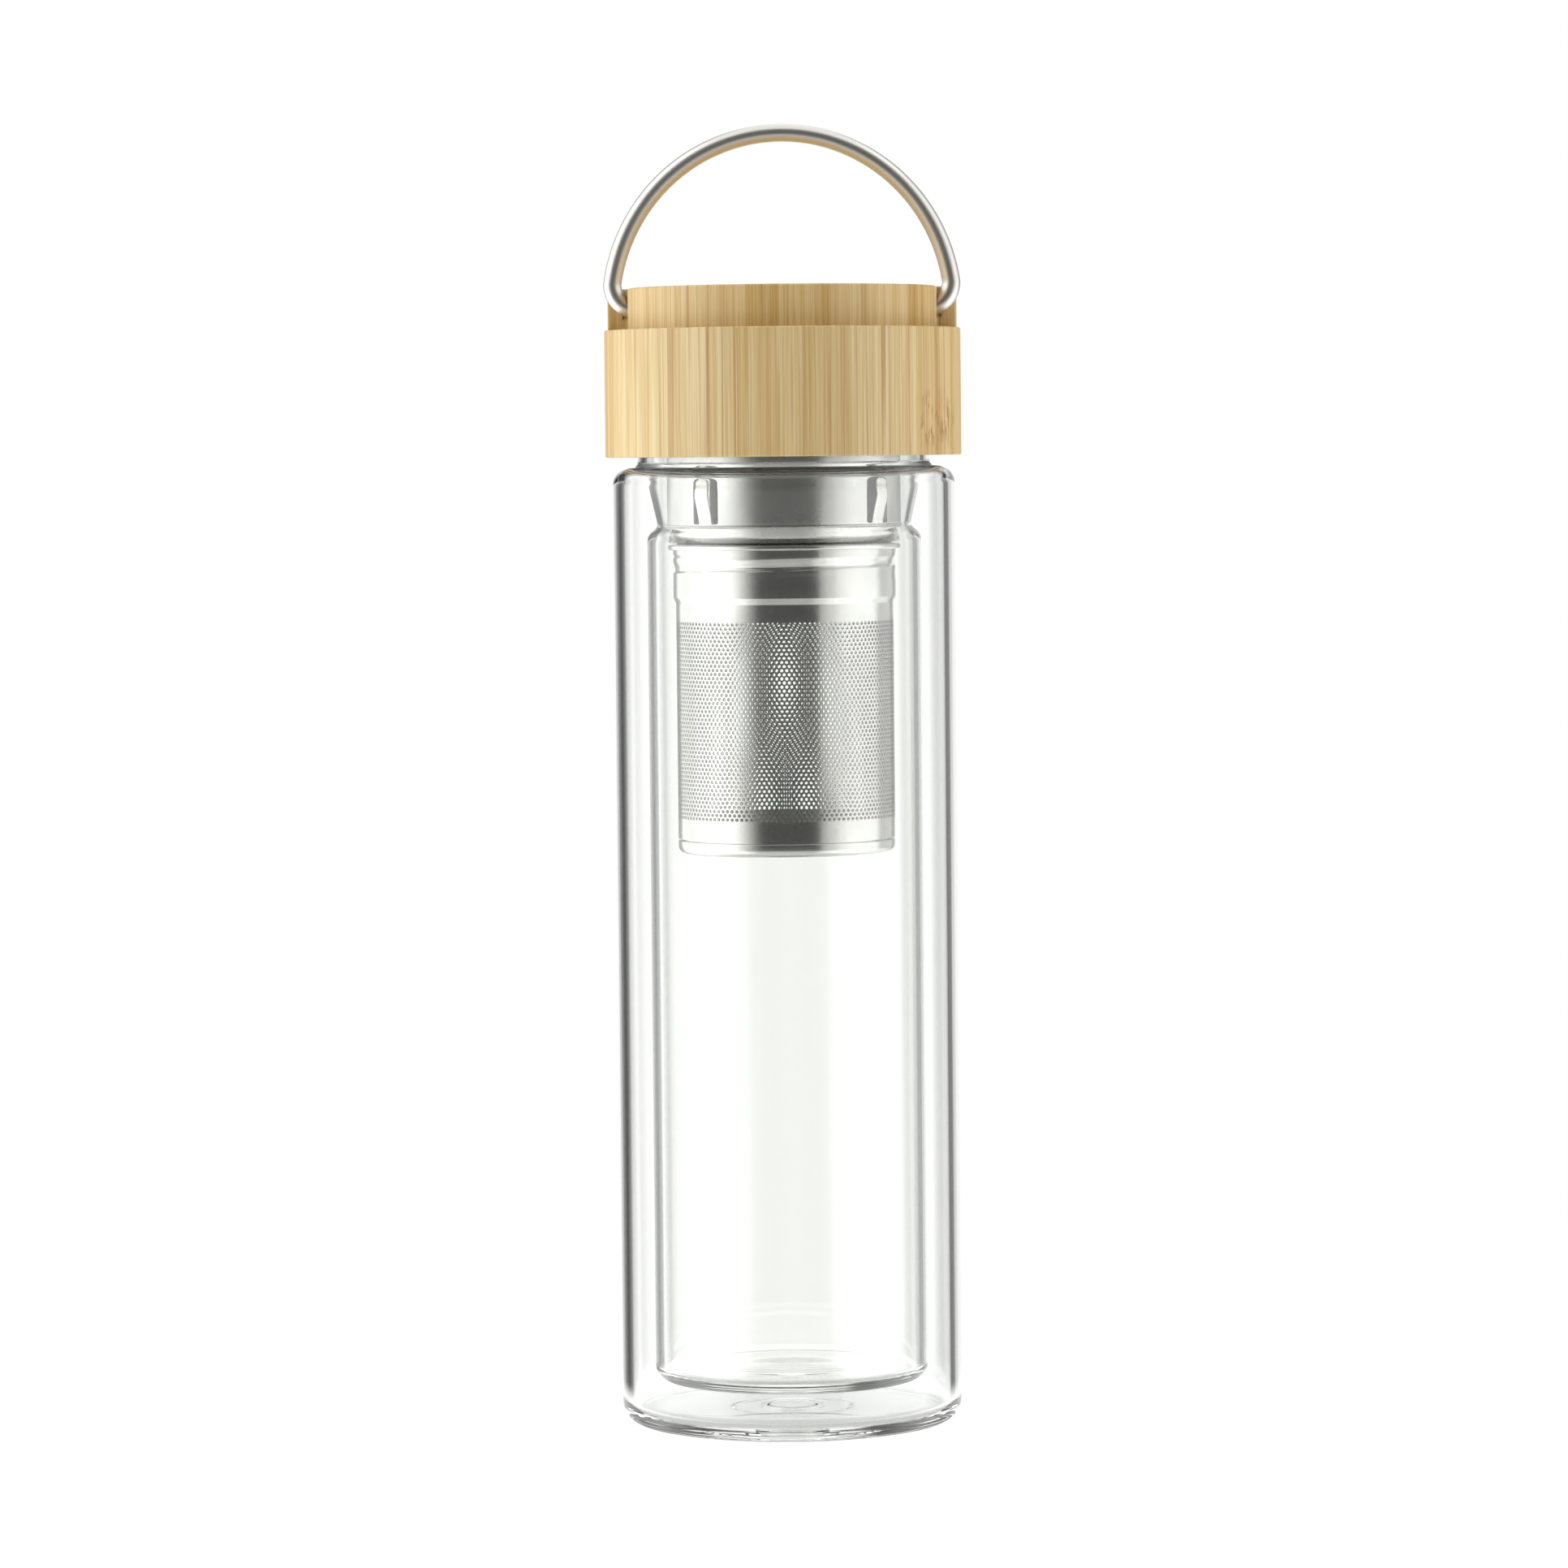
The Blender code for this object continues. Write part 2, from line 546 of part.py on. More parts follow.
def basket_bottom():
    """The pressed cup in the basket's lower end, with a drained floor."""
    corners = [
        (SPIGOT_RADIUS, BASKET_BOTTOM + CUP_SPIGOT),
        (SPIGOT_RADIUS, CUP_TOP),
        (BASKET_RADIUS, CUP_TOP),
        (BASKET_RADIUS, CUP_BOTTOM, CUP_ROUND),
        (0, CUP_BOTTOM),
    ]
    made = piece("basket_bottom", turned_sheet(corners), STEEL)
    thicken(made)
    drills = plate_drills(
        SIEVE_RINGS, SIEVE_RING_STEP, SIEVE_HOLE_RADIUS, CUP_BOTTOM - OVERRUN, CUP_BOTTOM + SHEET + OVERRUN
    )
    combine(made, "DIFFERENCE", helper("bottom_drills", drills))
    return made


def bamboo_lid():
    """The lid's lower ring with its hollow, and the tier above with the step for the handle."""
    corners = [
        (0, LID_CEILING),
        (LID_BORE, LID_CEILING, LID_ROUND),
        (LID_BORE, LID_BOTTOM),
        (LID_RADIUS, LID_BOTTOM, LID_ROUND),
        (LID_RADIUS, LEDGE, LID_ROUND),
        (0, LEDGE),
    ]
    made = piece("bamboo_lid", turned_solid(corners), BAMBOO)
    combine(made, "UNION", helper("upper_tier", upper_tier()))
    for side in (1, -1):
        combine(made, "DIFFERENCE", helper(f"handle_drill_{side + 2}", handle_drill(side)))
    return made


def upper_tier():
    """The lid's upper tier: wide behind the handle, and a narrower lobe in front of it."""
    bm = bmesh.new()
    step_plane = WIRE_RADIUS + GAP
    wide_start = atan2(step_plane, sqrt(TIER_RADIUS**2 - step_plane**2))
    lobe_start = atan2(step_plane, sqrt(LOBE_RADIUS**2 - step_plane**2))
    back, front = SEGMENTS // 2, SEGMENTS // 2
    plan = []
    for i in range(back + 1):
        angle = wide_start + (pi - 2 * wide_start) * i / back
        plan.append((TIER_RADIUS * cos(angle), TIER_RADIUS * sin(angle)))
    for i in range(front + 1):
        angle = pi - lobe_start + (pi + 2 * lobe_start) * i / front
        plan.append((LOBE_RADIUS * cos(angle), LOBE_RADIUS * sin(angle)))
    low = LEDGE - OVERRUN
    face = bm.faces.new([bm.verts.new((x, y, low)) for x, y in plan])
    moved = bmesh.ops.extrude_face_region(bm, geom=[face])["geom"]
    top = [g for g in moved if isinstance(g, bmesh.types.BMVert)]
    bmesh.ops.translate(bm, vec=(0, 0, LID_TOP - low), verts=top)
    bmesh.ops.recalc_face_normals(bm, faces=bm.faces)
    rim = [e for e in bm.edges if all(v in top for v in e.verts)]
    bmesh.ops.bevel(
        bm, geom=rim, offset=TIER_ROUND, affect="EDGES", segments=2, profile=0.5, material=-1
    )
    return bm


def handle_drill(side):
    """One of the lid's two bores for the handle, flared where the wire bends in."""
    bore = WIRE_RADIUS + GAP
    flare = bore + BEND_RISE + FLARE_EASE
    depth = PIN_DEPTH + GAP
    corners = [
        (0, 0),
        (bore, 0),
        (bore, depth - BEND_INSIDE - FLARE_LEAD),
        (flare, depth),
        (flare, depth + OVERRUN),
        (0, depth + OVERRUN),
    ]
    bm = turned_solid(corners)
    place = Matrix.Translation((side * (LOBE_RADIUS - depth), 0, PIVOT)) @ Matrix.Rotation(side * pi / 2, 4, "Y")
    bmesh.ops.transform(bm, matrix=place, verts=bm.verts)
    return bm


def lid_liner():
    """The moulded liner: a threaded skirt and the disc that presses on the gasket."""
    thread_top = JACKET_TOP - NECK_THREAD_DROP - NECK_THREAD_PITCH / 2
    thread_bottom = thread_top - LINER_THREAD_TURNS * NECK_THREAD_PITCH
    bottom = LID_BOTTOM + LINER_INSET
    corners = [
        (0, LINER_CEILING),
        (LINER_BORE, LINER_CEILING),
        *rows(LINER_BORE, thread_top, thread_bottom, NECK_THREAD_PITCH / THREAD_ROWS),
        (LINER_BORE, bottom),
        (LINER_RADIUS, bottom),
        (LINER_RADIUS, LINER_TOP, LINER_ROUND),
        (0, LINER_TOP),
    ]
    bm = turned_solid(corners)
    crest = thread_top
    thread = -NECK_THREAD_HEIGHT, NECK_THREAD_PITCH, thread_top, thread_bottom, crest
    wind_thread(bm, LINER_BORE, *thread, NECK_FADE_SHARES)
    return piece("lid_liner", bm, LINER_WHITE)


def lid_gasket():
    """The silicone ring over the infuser's flange, whose outer edge reaches down to the rim."""
    inside = NECK_RADIUS + GASKET_OVERHANG - GASKET_WIDTH
    outside = NECK_RADIUS + GASKET_OVERHANG
    corners = [
        (inside, GASKET_BOTTOM),
        (FLANGE_RADIUS + GAP, GASKET_BOTTOM),
        (FLANGE_RADIUS + GAP, RIM + GAP),
        (outside, RIM + GAP),
        (outside, GASKET_TOP),
        (inside, GASKET_TOP),
    ]
    return piece("lid_gasket", turned(outline(corners)), SILICONE)


def handle():
    """The bent wire: an arch, and a bend at each end that turns in along the pivot's axis."""
    lowest = atan2(BEND_RADIUS / ARCH_HEIGHT, ARCH_SPRING / ARCH_HALF_WIDTH)
    right = [(LOBE_RADIUS - PIN_DEPTH, 0)]
    for i in range(BEND_STEPS):
        angle = -pi / 2 + pi / 2 * i / BEND_STEPS
        right.append(
            (ARCH_SPRING - BEND_RADIUS + BEND_RADIUS * cos(angle), BEND_RADIUS + BEND_RADIUS * sin(angle))
        )
    arch = []
    for i in range(ARCH_STEPS + 1):
        angle = lowest + (pi - 2 * lowest) * i / ARCH_STEPS
        arch.append((ARCH_HALF_WIDTH * cos(angle), ARCH_HEIGHT * sin(angle)))
    points = right + arch + [(-x, z) for x, z in reversed(right)]
    wire = bpy.data.curves.new("handle", "CURVE")
    wire.dimensions = "3D"
    wire.bevel_depth = WIRE_RADIUS
    wire.bevel_resolution = 3
    wire.use_fill_caps = True
    spline = wire.splines.new("POLY")
    spline.points.add(len(points) - 1)
    for point, (x, z) in zip(spline.points, points):
        point.co = (x, 0, z, 1)
    made = bpy.data.objects.new("handle", wire)
    bpy.context.collection.objects.link(made)
    made.location = (0, 0, PIVOT)
    wire.materials.append(finish("handle", *WIRE_STEEL))
    return made


outer_glass()
vent_seal()
inner_glass()
infuser_sleeve()
sieve_plate()
infuser_basket()
basket_bottom()
bamboo_lid()
lid_liner()
lid_gasket()
handle()
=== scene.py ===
"""Looks of the tea bottle: clear double glass, a perforated steel infuser, bamboo and satin wire.

Metres, +Z up, with the front towards -Y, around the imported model.
"""

from math import atan2, ceil, cos, degrees, hypot, pi, radians, sin, sqrt, tan

import bmesh
import bpy
from mathutils import Matrix, Vector


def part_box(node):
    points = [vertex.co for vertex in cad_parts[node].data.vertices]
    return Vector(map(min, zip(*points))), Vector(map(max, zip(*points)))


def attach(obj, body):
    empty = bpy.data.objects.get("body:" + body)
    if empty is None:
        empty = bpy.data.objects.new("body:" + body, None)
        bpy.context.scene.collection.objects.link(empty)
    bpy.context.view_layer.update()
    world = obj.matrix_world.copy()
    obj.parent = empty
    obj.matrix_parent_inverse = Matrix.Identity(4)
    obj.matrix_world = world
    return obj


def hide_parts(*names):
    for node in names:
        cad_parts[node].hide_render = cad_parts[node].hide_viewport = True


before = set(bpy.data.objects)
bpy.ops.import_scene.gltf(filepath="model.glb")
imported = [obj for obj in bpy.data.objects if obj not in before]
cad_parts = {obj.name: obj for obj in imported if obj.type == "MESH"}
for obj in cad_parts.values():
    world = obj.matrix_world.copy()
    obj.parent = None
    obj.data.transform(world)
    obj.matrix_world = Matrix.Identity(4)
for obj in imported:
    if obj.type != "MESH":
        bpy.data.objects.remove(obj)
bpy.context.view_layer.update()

MM = 0.001

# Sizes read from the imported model
BODY_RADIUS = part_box("outer_glass")[1].x
JACKET_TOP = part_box("outer_glass")[1].z
VESSEL_BOTTOM, RIM = (corner.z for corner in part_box("inner_glass"))
NECK_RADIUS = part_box("inner_glass")[1].x
FLANGE_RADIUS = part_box("infuser_sleeve")[1].x
SKIRT_BOTTOM, FLANGE_TOP = (corner.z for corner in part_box("infuser_sleeve"))
SIEVE_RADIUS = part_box("sieve_plate")[1].x
SIEVE_BOTTOM, SIEVE_TOP = (corner.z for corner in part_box("sieve_plate"))
LIP_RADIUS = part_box("infuser_basket")[1].x
BASKET_BOTTOM, BASKET_TOP = (corner.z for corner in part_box("infuser_basket"))
BASKET_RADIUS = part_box("basket_bottom")[1].x
CUP_BOTTOM, SPIGOT_TOP = (corner.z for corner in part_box("basket_bottom"))
LID_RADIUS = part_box("bamboo_lid")[1].x
LID_BOTTOM, LID_TOP = (corner.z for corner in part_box("bamboo_lid"))
LINER_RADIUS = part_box("lid_liner")[1].x
LINER_BOTTOM, LINER_TOP = (corner.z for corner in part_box("lid_liner"))
GASKET_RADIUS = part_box("lid_gasket")[1].x
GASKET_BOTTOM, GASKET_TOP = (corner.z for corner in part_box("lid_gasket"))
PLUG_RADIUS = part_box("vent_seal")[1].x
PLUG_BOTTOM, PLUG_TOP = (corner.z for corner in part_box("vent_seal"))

# Fits and facets
GAP = 0.3 * MM
SHEET = 0.5 * MM
WELD = 0.001 * MM
SEGMENTS = 160
THREAD_ROWS = 16
ROUND_ANGLE = radians(9)  # of each facet of a rounding
SUPPORT = 0.2 * MM  # from a rounding to the ring that keeps the wall beside it flat
LONG_WALL = 1.2 * MM  # from this length on, a wall gets those rings
FINE_ROUND = 0.3 * MM

# Glass
BODY_HEIGHT = 188.6 * MM
BODY_WALL = 2.2 * MM
BASE_THICKNESS = 3.0 * MM
HEEL_ROUND = 4.2 * MM
SHOULDER_ROUND = 3.5 * MM
SHOULDER_WALL = 1.7 * MM
SHOULDER_INNER_ROUND = 1.3 * MM
PUNT_RADIUS = 12.2 * MM
PUNT_DEPTH = 0.8 * MM
PUNT_ROUND = 0.8 * MM
NECK_ROUND = 1.0 * MM
JACKET_RIM_ROUND = 0.4 * MM
NECK_PITCH = 4.0 * MM
NECK_THREAD_HEIGHT = 0.9 * MM
NECK_THREAD_TURNS = 2.0
NECK_THREAD_DROP = 2.6 * MM
VENT_STEP_WIDTH = 1.5 * MM
VENT_STEP_HEIGHT = 1.2 * MM
NECK_BORE = 25.0 * MM
LAYER_WALL = 1.6 * MM
RIM_THICKNESS = 1.5 * MM
RIM_ROUND = 0.7 * MM
RIM_FOOT_ROUND = 0.6 * MM
FLARE_ROUND = 8.0 * MM
FLARE_DROP = 20.4 * MM
WAIST_DROP = 28.0 * MM
WAIST_BORE = 23.7 * MM
WAIST_WALL = 1.2 * MM
WAIST_ROUND = 1.2 * MM
WAIST_INNER_ROUND = 1.6 * MM
VACUUM_GAP = 4.5 * MM
VESSEL_WALL = 2.0 * MM
VESSEL_FLOOR = 2.2 * MM
VESSEL_SLOPE = 2.9 * MM
VESSEL_ROUND = 3.0 * MM
# Where the vessel's wall turns in to the waist: how far above the slope's foot, and the rounding
VESSEL_SHOULDER = 1.2 * MM, 2.8 * MM
VESSEL_INNER_SHOULDER = 0.6 * MM, 1.4 * MM
LENS_RADIUS = 6.5 * MM
LENS_RISE = 0.5 * MM
LENS_ROUND = 6.0 * MM
LENS_FOOT_ROUND = 8.0 * MM
VESSEL_RADIUS = BODY_RADIUS - BODY_WALL - VACUUM_GAP
LAYER_RADIUS = NECK_BORE + LAYER_WALL

# Infuser
SLEEVE_RADIUS = 23.0 * MM
BEAD_RADIUS = 23.25 * MM
BEAD_TOP = 177.2 * MM
BEAD_BOTTOM = BASKET_TOP + GAP
BEAD_STEP = 0.3 * MM
BEAD_LEAN = 0.45 * MM
SKIRT_RADIUS = 21.1 * MM
COLLAR_RADIUS = SKIRT_RADIUS + GAP + SHEET
ROLLED_PITCH = 3.0 * MM
ROLLED_DEPTH = 0.6 * MM
ROLLED_FLANKS = 0.8, 0.2  # pitches above the crest and below it
ROLLED_TOP = BASKET_TOP - 1.8 * MM
ROLLED_BOTTOM = ROLLED_TOP - 5.2 * MM
ROLLED_CREST = ROLLED_TOP - 1.95 * MM
COLLAR_FOOT = BASKET_TOP - 10.3 * MM
COLLAR_BOTTOM = COLLAR_FOOT - 1.2 * MM
LIP_THICKNESS = 1.0 * MM
LIP_ROUND = 0.45 * LIP_THICKNESS
HOLE_TOP = COLLAR_BOTTOM - 3.8 * MM
HOLE_ROWS = 48
HOLE_COLUMNS = 135
HOLE_ROW_STEP = 0.807 * MM
HOLE_RADIUS = 0.36 * MM
HOLE_SIDES = 12
MESH_PIECES = 3
PLATE_STEP = 1.5 * MM  # between the holes of the flat plates
PLATE_HOLE_RADIUS = 0.5 * MM
PLATE_HOLE_SIDES = 8
CELL_WELD = 0.01 * MM
CUP_TOP = BASKET_BOTTOM - GAP
CUP_FLOOR_RADIUS = BASKET_RADIUS - 3.0 * MM
CUP_ROUND = 1.6 * MM
TAB_COUNT = 4
TAB_TURN = 50.0
SLOT_WIDTH = 6.0 * MM
SLOT_BOTTOM = BEAD_TOP + GAP
SLOT_TOP = SLOT_BOTTOM + 9.1 * MM
SLOT_FOOT_ROUND = 0.7 * MM
SLOT_TOP_ROUND = 2.2 * MM
TAB_WIDTH = 3.3 * MM
TAB_SHEET = 0.4 * MM
TAB_STRIPS = 4  # across the tongue, before it is smoothed
TAB_HEAD = 1.5 * MM
TAB_HEAD_SHARE = 0.93  # of a full round end
# The tongue's stand from the sleeve and its height in the slot, in millimetres
TAB_PATH = (
    (0.00, -0.6), (0.00, 0.2), (0.22, 1.5), (0.55, 3.0), (0.90, 4.4), (1.10, 5.2), (1.16, 5.7),
    (1.12, 6.2), (1.00, 6.9), (0.86, 7.6), (0.74, 8.2), (0.68, 8.6),
)

# Lid and handle
LID_CEILING = 210.3 * MM
LEDGE = 215.5 * MM
LID_BORE = 32.7 * MM
LID_EDGE = 0.35 * MM
TIER_RADIUS = LID_RADIUS - 0.55 * MM
LOBE_RADIUS = LID_RADIUS - 4.6 * MM
TIER_FOOT = LEDGE - 1.0 * MM  # inside the ring, so that the two join
TIER_EDGE = 0.45 * MM
BORE_FLARE = 0.75 * MM
BORE_FLARE_LENGTH = 3.0 * MM
BORE_END = 1.0 * MM  # past the wood
GASKET_WIDTH = 5.4 * MM
LINER_THREAD_TURNS = 1.5
LINER_BORE = 30.9 * MM
LINER_DISC = 1.6 * MM
WIRE_RADIUS = 1.8 * MM
PIVOT = 219.5 * MM
ARCH_HALF_WIDTH = 33.66 * MM
ARCH_HEIGHT = 34.41 * MM
BEND_RADIUS = 5.0 * MM
PIN_DEPTH = 8.4 * MM

# Surroundings
FLOOR_RADIUS = 0.35
FLOOR_DROP = 0.3 * MM  # below the foot, so that the two don't touch
FLOOR_FADE = 0.045, 0.075  # from where to where the floor fades out, for all but the camera
FOOT_SHADE = BODY_RADIUS - 3 * MM, BODY_RADIUS + 3 * MM  # where the painted shadow under the foot, a darker floor, ends
CAMERA_LENS = 143.5  # in millimetres, for a sensor 36 mm wide
CAMERA_PLACE = Vector((-0.0005, -1.2312, 0.1933))
CAMERA_AIM = Vector((-0.0005, 0, 0.1260))
CAMERA_ROLL = radians(-0.55)
# Boxes of light round the bottle: where each starts and ends in degrees of turn, how soft its two
# edges are, and how bright it is
LIGHT_BOXES = (
    (-17, 27, 3, 3, 0.80), (-8, 9, 4, 4, 0.32), (-74, -40, 4, 4, 1.25), (39, 70, 4, 4, 0.50),
    (-137, -74, 19, 4, 1.70),
)
DARK_LIGHT = 0.08  # between the boxes
LIGHT_BOUNCES = 32  # light in glass walls needs many, as total reflections count too


# Shader maths


class Value:
    """A socket of a node tree. Expressions on it add Math nodes."""

    def __init__(self, tree, socket=None):
        self.tree, self.socket = tree, socket

    def node(self, kind, settings=None, inputs=None, output=0):
        """Adds a node: its type, its settings, the values or links of its sockets, its output."""
        made = self.tree.nodes.new(kind)
        for name, value in (settings or {}).items():
            if name == "stops":
                elements = made.color_ramp.elements
                while len(elements) < len(value):
                    elements.new(1)
                for element, (place, colour) in zip(elements, value):
                    element.position, element.color = place, (*colour, 1)
            elif name == "ramp_interpolation":
                made.color_ramp.interpolation = value
            else:
                setattr(made, name, value)
        for name, value in (inputs or {}).items():
            if isinstance(value, Value):
                self.tree.links.new(value.socket, made.inputs[name])
            else:
                made.inputs[name].default_value = value
        return Value(self.tree, made.outputs[output] if made.outputs else None)

    def math(self, operation, *values):
        return self.node("ShaderNodeMath", {"operation": operation}, dict(enumerate(values)))

    def __add__(self, other):
        return self.math("ADD", self, other)

    def __sub__(self, other):
        return self.math("SUBTRACT", self, other)

    def __rsub__(self, other):
        return self.math("SUBTRACT", other, self)

    def __mul__(self, other):
        return self.math("MULTIPLY", self, other)

    def __truediv__(self, other):
        return self.math("DIVIDE", self, other)

    def __pow__(self, other):
        return self.math("POWER", self, other)

    __radd__ = __add__
    __rmul__ = __mul__

    def ramp(self, low, high, start=0.0, end=1.0):
        """A smooth step from start to end while the value goes from low to high."""
        settings = {"interpolation_type": "SMOOTHSTEP"}
        sockets = {"Value": self, "From Min": low, "From Max": high, "To Min": start, "To Max": end}
        return self.node("ShaderNodeMapRange", settings, sockets)

    def band(self, low, high, soft, soft_end=None):
        """1 between low and high, with edges of one softness or of two."""
        soft_end = soft_end or soft
        return self.ramp(low - soft, low + soft) * (1 - self.ramp(high - soft_end, high + soft_end))

    def mix(self, first, second):
        """A colour between two, by this value."""
        sockets = {"Factor": self, 6: first, 7: second}
        return self.node("ShaderNodeMix", {"data_type": "RGBA"}, sockets, output=2)

    def noise(self, scale, detail=2.0, roughness=0.5):
        """Noise on this vector."""
        sockets = {"Vector": self, "Scale": scale, "Detail": detail, "Roughness": roughness}
        return self.node("ShaderNodeTexNoise", {}, sockets)

    def vector(self, x, y, z):
        return self.node("ShaderNodeCombineXYZ", {}, {"X": x, "Y": y, "Z": z})


def parts(vector):
    """A vector's X, Y and Z."""
    sockets = {"Vector": vector}
    return [vector.node("ShaderNodeSeparateXYZ", {}, sockets, output=i) for i in range(3)]


def object_place(root):
    """The Object coordinates, as a vector and its three parts."""
    place = root.node("ShaderNodeTexCoord", output="Object")
    return place, *parts(place)


def surface(name, constants, pattern):
    """A material: constants sit on the shader's own sockets, and pattern gives what varies.

    pattern(root) gives the links by socket name, and may give a height for a bump.
    """
    made = bpy.data.materials.new(name)
    made.use_nodes = True
    shader = made.node_tree.nodes["Principled BSDF"]
    for socket, value in constants.items():
        shader.inputs[socket].default_value = value
    links = pattern(Value(made.node_tree))
    height = links.pop("Height", None)
    if height:
        value, distance = height
        sockets = {"Height": value, "Strength": 1.0, "Distance": distance}
        links["Normal"] = value.node("ShaderNodeBump", {}, sockets)
    for socket, value in links.items():
        made.node_tree.links.new(value.socket, shader.inputs[socket])
    return made


def clear_glass():
    """Clear glass, a little green where it is seen edge on, with painted shade darkening it there.
    """

    def pattern(root):
        place, _, _, _ = object_place(root)
        facing = root.node("ShaderNodeLayerWeight", {}, {"Blend": 0.5}, output="Facing")
        # painted shade: the base colour darkens towards edges seen edge on, on top of the glass's
        # own green there
        green_and_edge_shade = facing.ramp(0.5, 1.0, 0, 0.10) + place.noise(60, 2) * 0.02
        return {"Base Color": green_and_edge_shade.mix((0.995, 1.0, 0.99, 1), (0.50, 0.62, 0.48, 1))}

    constants = {"Transmission Weight": 1.0, "Roughness": 0.0, "IOR": 1.47}
    return surface("clear_glass", constants, pattern)


def pressed_steel():
    """Satin sheet steel with fine lines round it, from rolling and polishing."""

    def pattern(root):
        place, x, y, z = object_place(root)
        radius = (x * x + y * y) ** 0.5
        angle = x.math("ARCTAN2", y, x)
        lines = place.vector(angle * 0.002, radius, z).noise(14000, 2, 0.6)
        cloud = place.noise(120, 3, 0.6)
        specks = place.noise(2600, 1).ramp(0.74, 0.8)
        satin = z.ramp(BASKET_TOP - SHEET, BASKET_TOP + SHEET, 0.13, 0.24)
        roughness = satin + lines * 0.05 + cloud.ramp(0.3, 0.7) * 0.04 + specks * 0.1
        tone = cloud.ramp(0.3, 0.7, 0, 0.5) + lines * 0.3
        return {
            "Base Color": tone.mix((0.80, 0.79, 0.78, 1), (0.70, 0.69, 0.68, 1)),
            "Roughness": roughness,
            "Height": (lines, 0.0006 * MM),
        }

    return surface("pressed_steel", {"Metallic": 1.0}, pattern)


def drawn_wire():
    """Satin stainless wire with fine lines along it."""

    def pattern(root):
        place, x, y, z = object_place(root)
        rise = z - PIVOT
        reach = (x * x + rise * rise) ** 0.5
        angle = x.math("ARCTAN2", rise, x)
        along = place.vector(angle * 0.0012, reach, y)
        lines = along.noise(9000, 2, 0.6)
        cloud = place.noise(200, 2)
        tone = lines * 0.6 + cloud * 0.3
        return {
            "Base Color": tone.mix((0.74, 0.72, 0.68, 1), (0.62, 0.60, 0.56, 1)),
            "Roughness": 0.28 + lines * 0.08 + cloud * 0.04,
            "Height": (lines, 0.0008 * MM),
        }

    return surface("drawn_wire", {"Metallic": 1.0}, pattern)


STRIP_REACH = 36.0
# The bamboo strips of the ring and of the tier: each one's right edge across the lid, in
# millimetres, and its tone
RING_STRIPS = (
    (-32.7, 0.60), (-29.0, 0.30), (-25.7, 0.22), (-22.0, 0.05), (-18.8, 0.28), (-14.8, 0.20),
    (-9.5, 0.32), (-6.2, 0.62), (-1.1, 0.52), (4.0, 0.44), (13.3, 0.50), (19.8, 0.18),
    (24.2, 0.30), (26.3, 0.38), (32.8, 0.56), (STRIP_REACH, 0.70),
)
TIER_STRIPS = (
    (-29.0, 0.75), (-24.5, 0.45), (-20.6, 0.35), (-15.8, 0.40), (-11.4, 0.58), (-7.0, 0.50),
    (-0.4, 0.92), (6.4, 0.62), (13.0, 0.72), (18.0, 0.50), (24.7, 0.45), (30.0, 0.85),
    (STRIP_REACH, 0.60),
)


def bamboo():
    """Upright laminated bamboo strips: tones by strip, fibres, brown lines, and one node."""

    def strips(across, table):
        def share(edge):
            return (edge + STRIP_REACH) / (2 * STRIP_REACH)

        starts = (-STRIP_REACH, *(edge for edge, _ in table[:-1]))
        stops = [(share(start), (tone,) * 3) for start, (_, tone) in zip(starts, table)]
        settings = {"ramp_interpolation": "CONSTANT", "stops": stops}
        return across.node("ShaderNodeValToRGB", settings, {"Fac": share(across / MM)})

    def pattern(root):
        place, x, y, z = object_place(root)
        waver = place.vector(0, y, z).noise(25, 2) * (0.5 * MM)
        across = x + waver
        in_tier = z.ramp(LEDGE - 0.05 * MM, LEDGE + 0.05 * MM)
        tone = in_tier.mix(strips(across, RING_STRIPS), strips(across, TIER_STRIPS))
        tone = tone.node("ShaderNodeRGBToBW", {}, {"Color": tone})
        grain = place.vector(across, y * 0.5, z * 0.012)
        broad = grain.noise(420, 3, 0.55)
        fine = grain.noise(2600, 3, 0.6)
        dark_lines = place.vector(across, y * 0.25, z * 0.004).noise(1050, 2, 0.55)
        dark_lines = dark_lines.ramp(0.56, 0.67)
        thin_lines = place.vector(across, y * 0.4, z * 0.006 + 3).noise(2300, 1, 0.5)
        thin_lines = thin_lines.ramp(0.56, 0.68)
        dashes = place.vector(across, y, z * 0.16).noise(1500, 2, 0.6).ramp(0.53, 0.60)
        node_patch = x.band(26.5 * MM, 33 * MM, 1.2 * MM) * z.band(193 * MM, 202 * MM, 2.5 * MM)
        node_patch = node_patch * y.ramp(0, 5 * MM, 1, 0)
        shade = tone * 0.66 + broad.ramp(0.35, 0.65) * 0.22 + fine.ramp(0.38, 0.62) * 0.26
        honey = shade.mix((0.88, 0.72, 0.42, 1), (0.54, 0.34, 0.10, 1))
        lined = (dark_lines * 0.50 + thin_lines * 0.30).mix(honey, (0.40, 0.18, 0.05, 1))
        return {
            "Base Color": (node_patch * dashes * 0.8).mix(lined, (0.38, 0.20, 0.06, 1)),
            "Roughness": 0.42 + fine * 0.16,
            "Height": (fine * 0.6 + broad * 0.4 - dark_lines * 0.5, 0.03 * MM),
        }

    return surface("bamboo", {"Specular IOR Level": 0.35}, pattern)


def moulded_liner():
    """Milky moulded plastic with a faint sheen."""

    def pattern(root):
        place, _, _, _ = object_place(root)
        cloud = place.noise(180, 3)
        grain = place.noise(4200, 2)
        return {
            "Base Color": cloud.ramp(0.3, 0.7).mix((0.84, 0.83, 0.79, 1), (0.78, 0.77, 0.73, 1)),
            "Roughness": 0.38 + grain * 0.12,
            "Height": (grain, 0.01 * MM),
        }

    return surface("moulded_liner", {}, pattern)


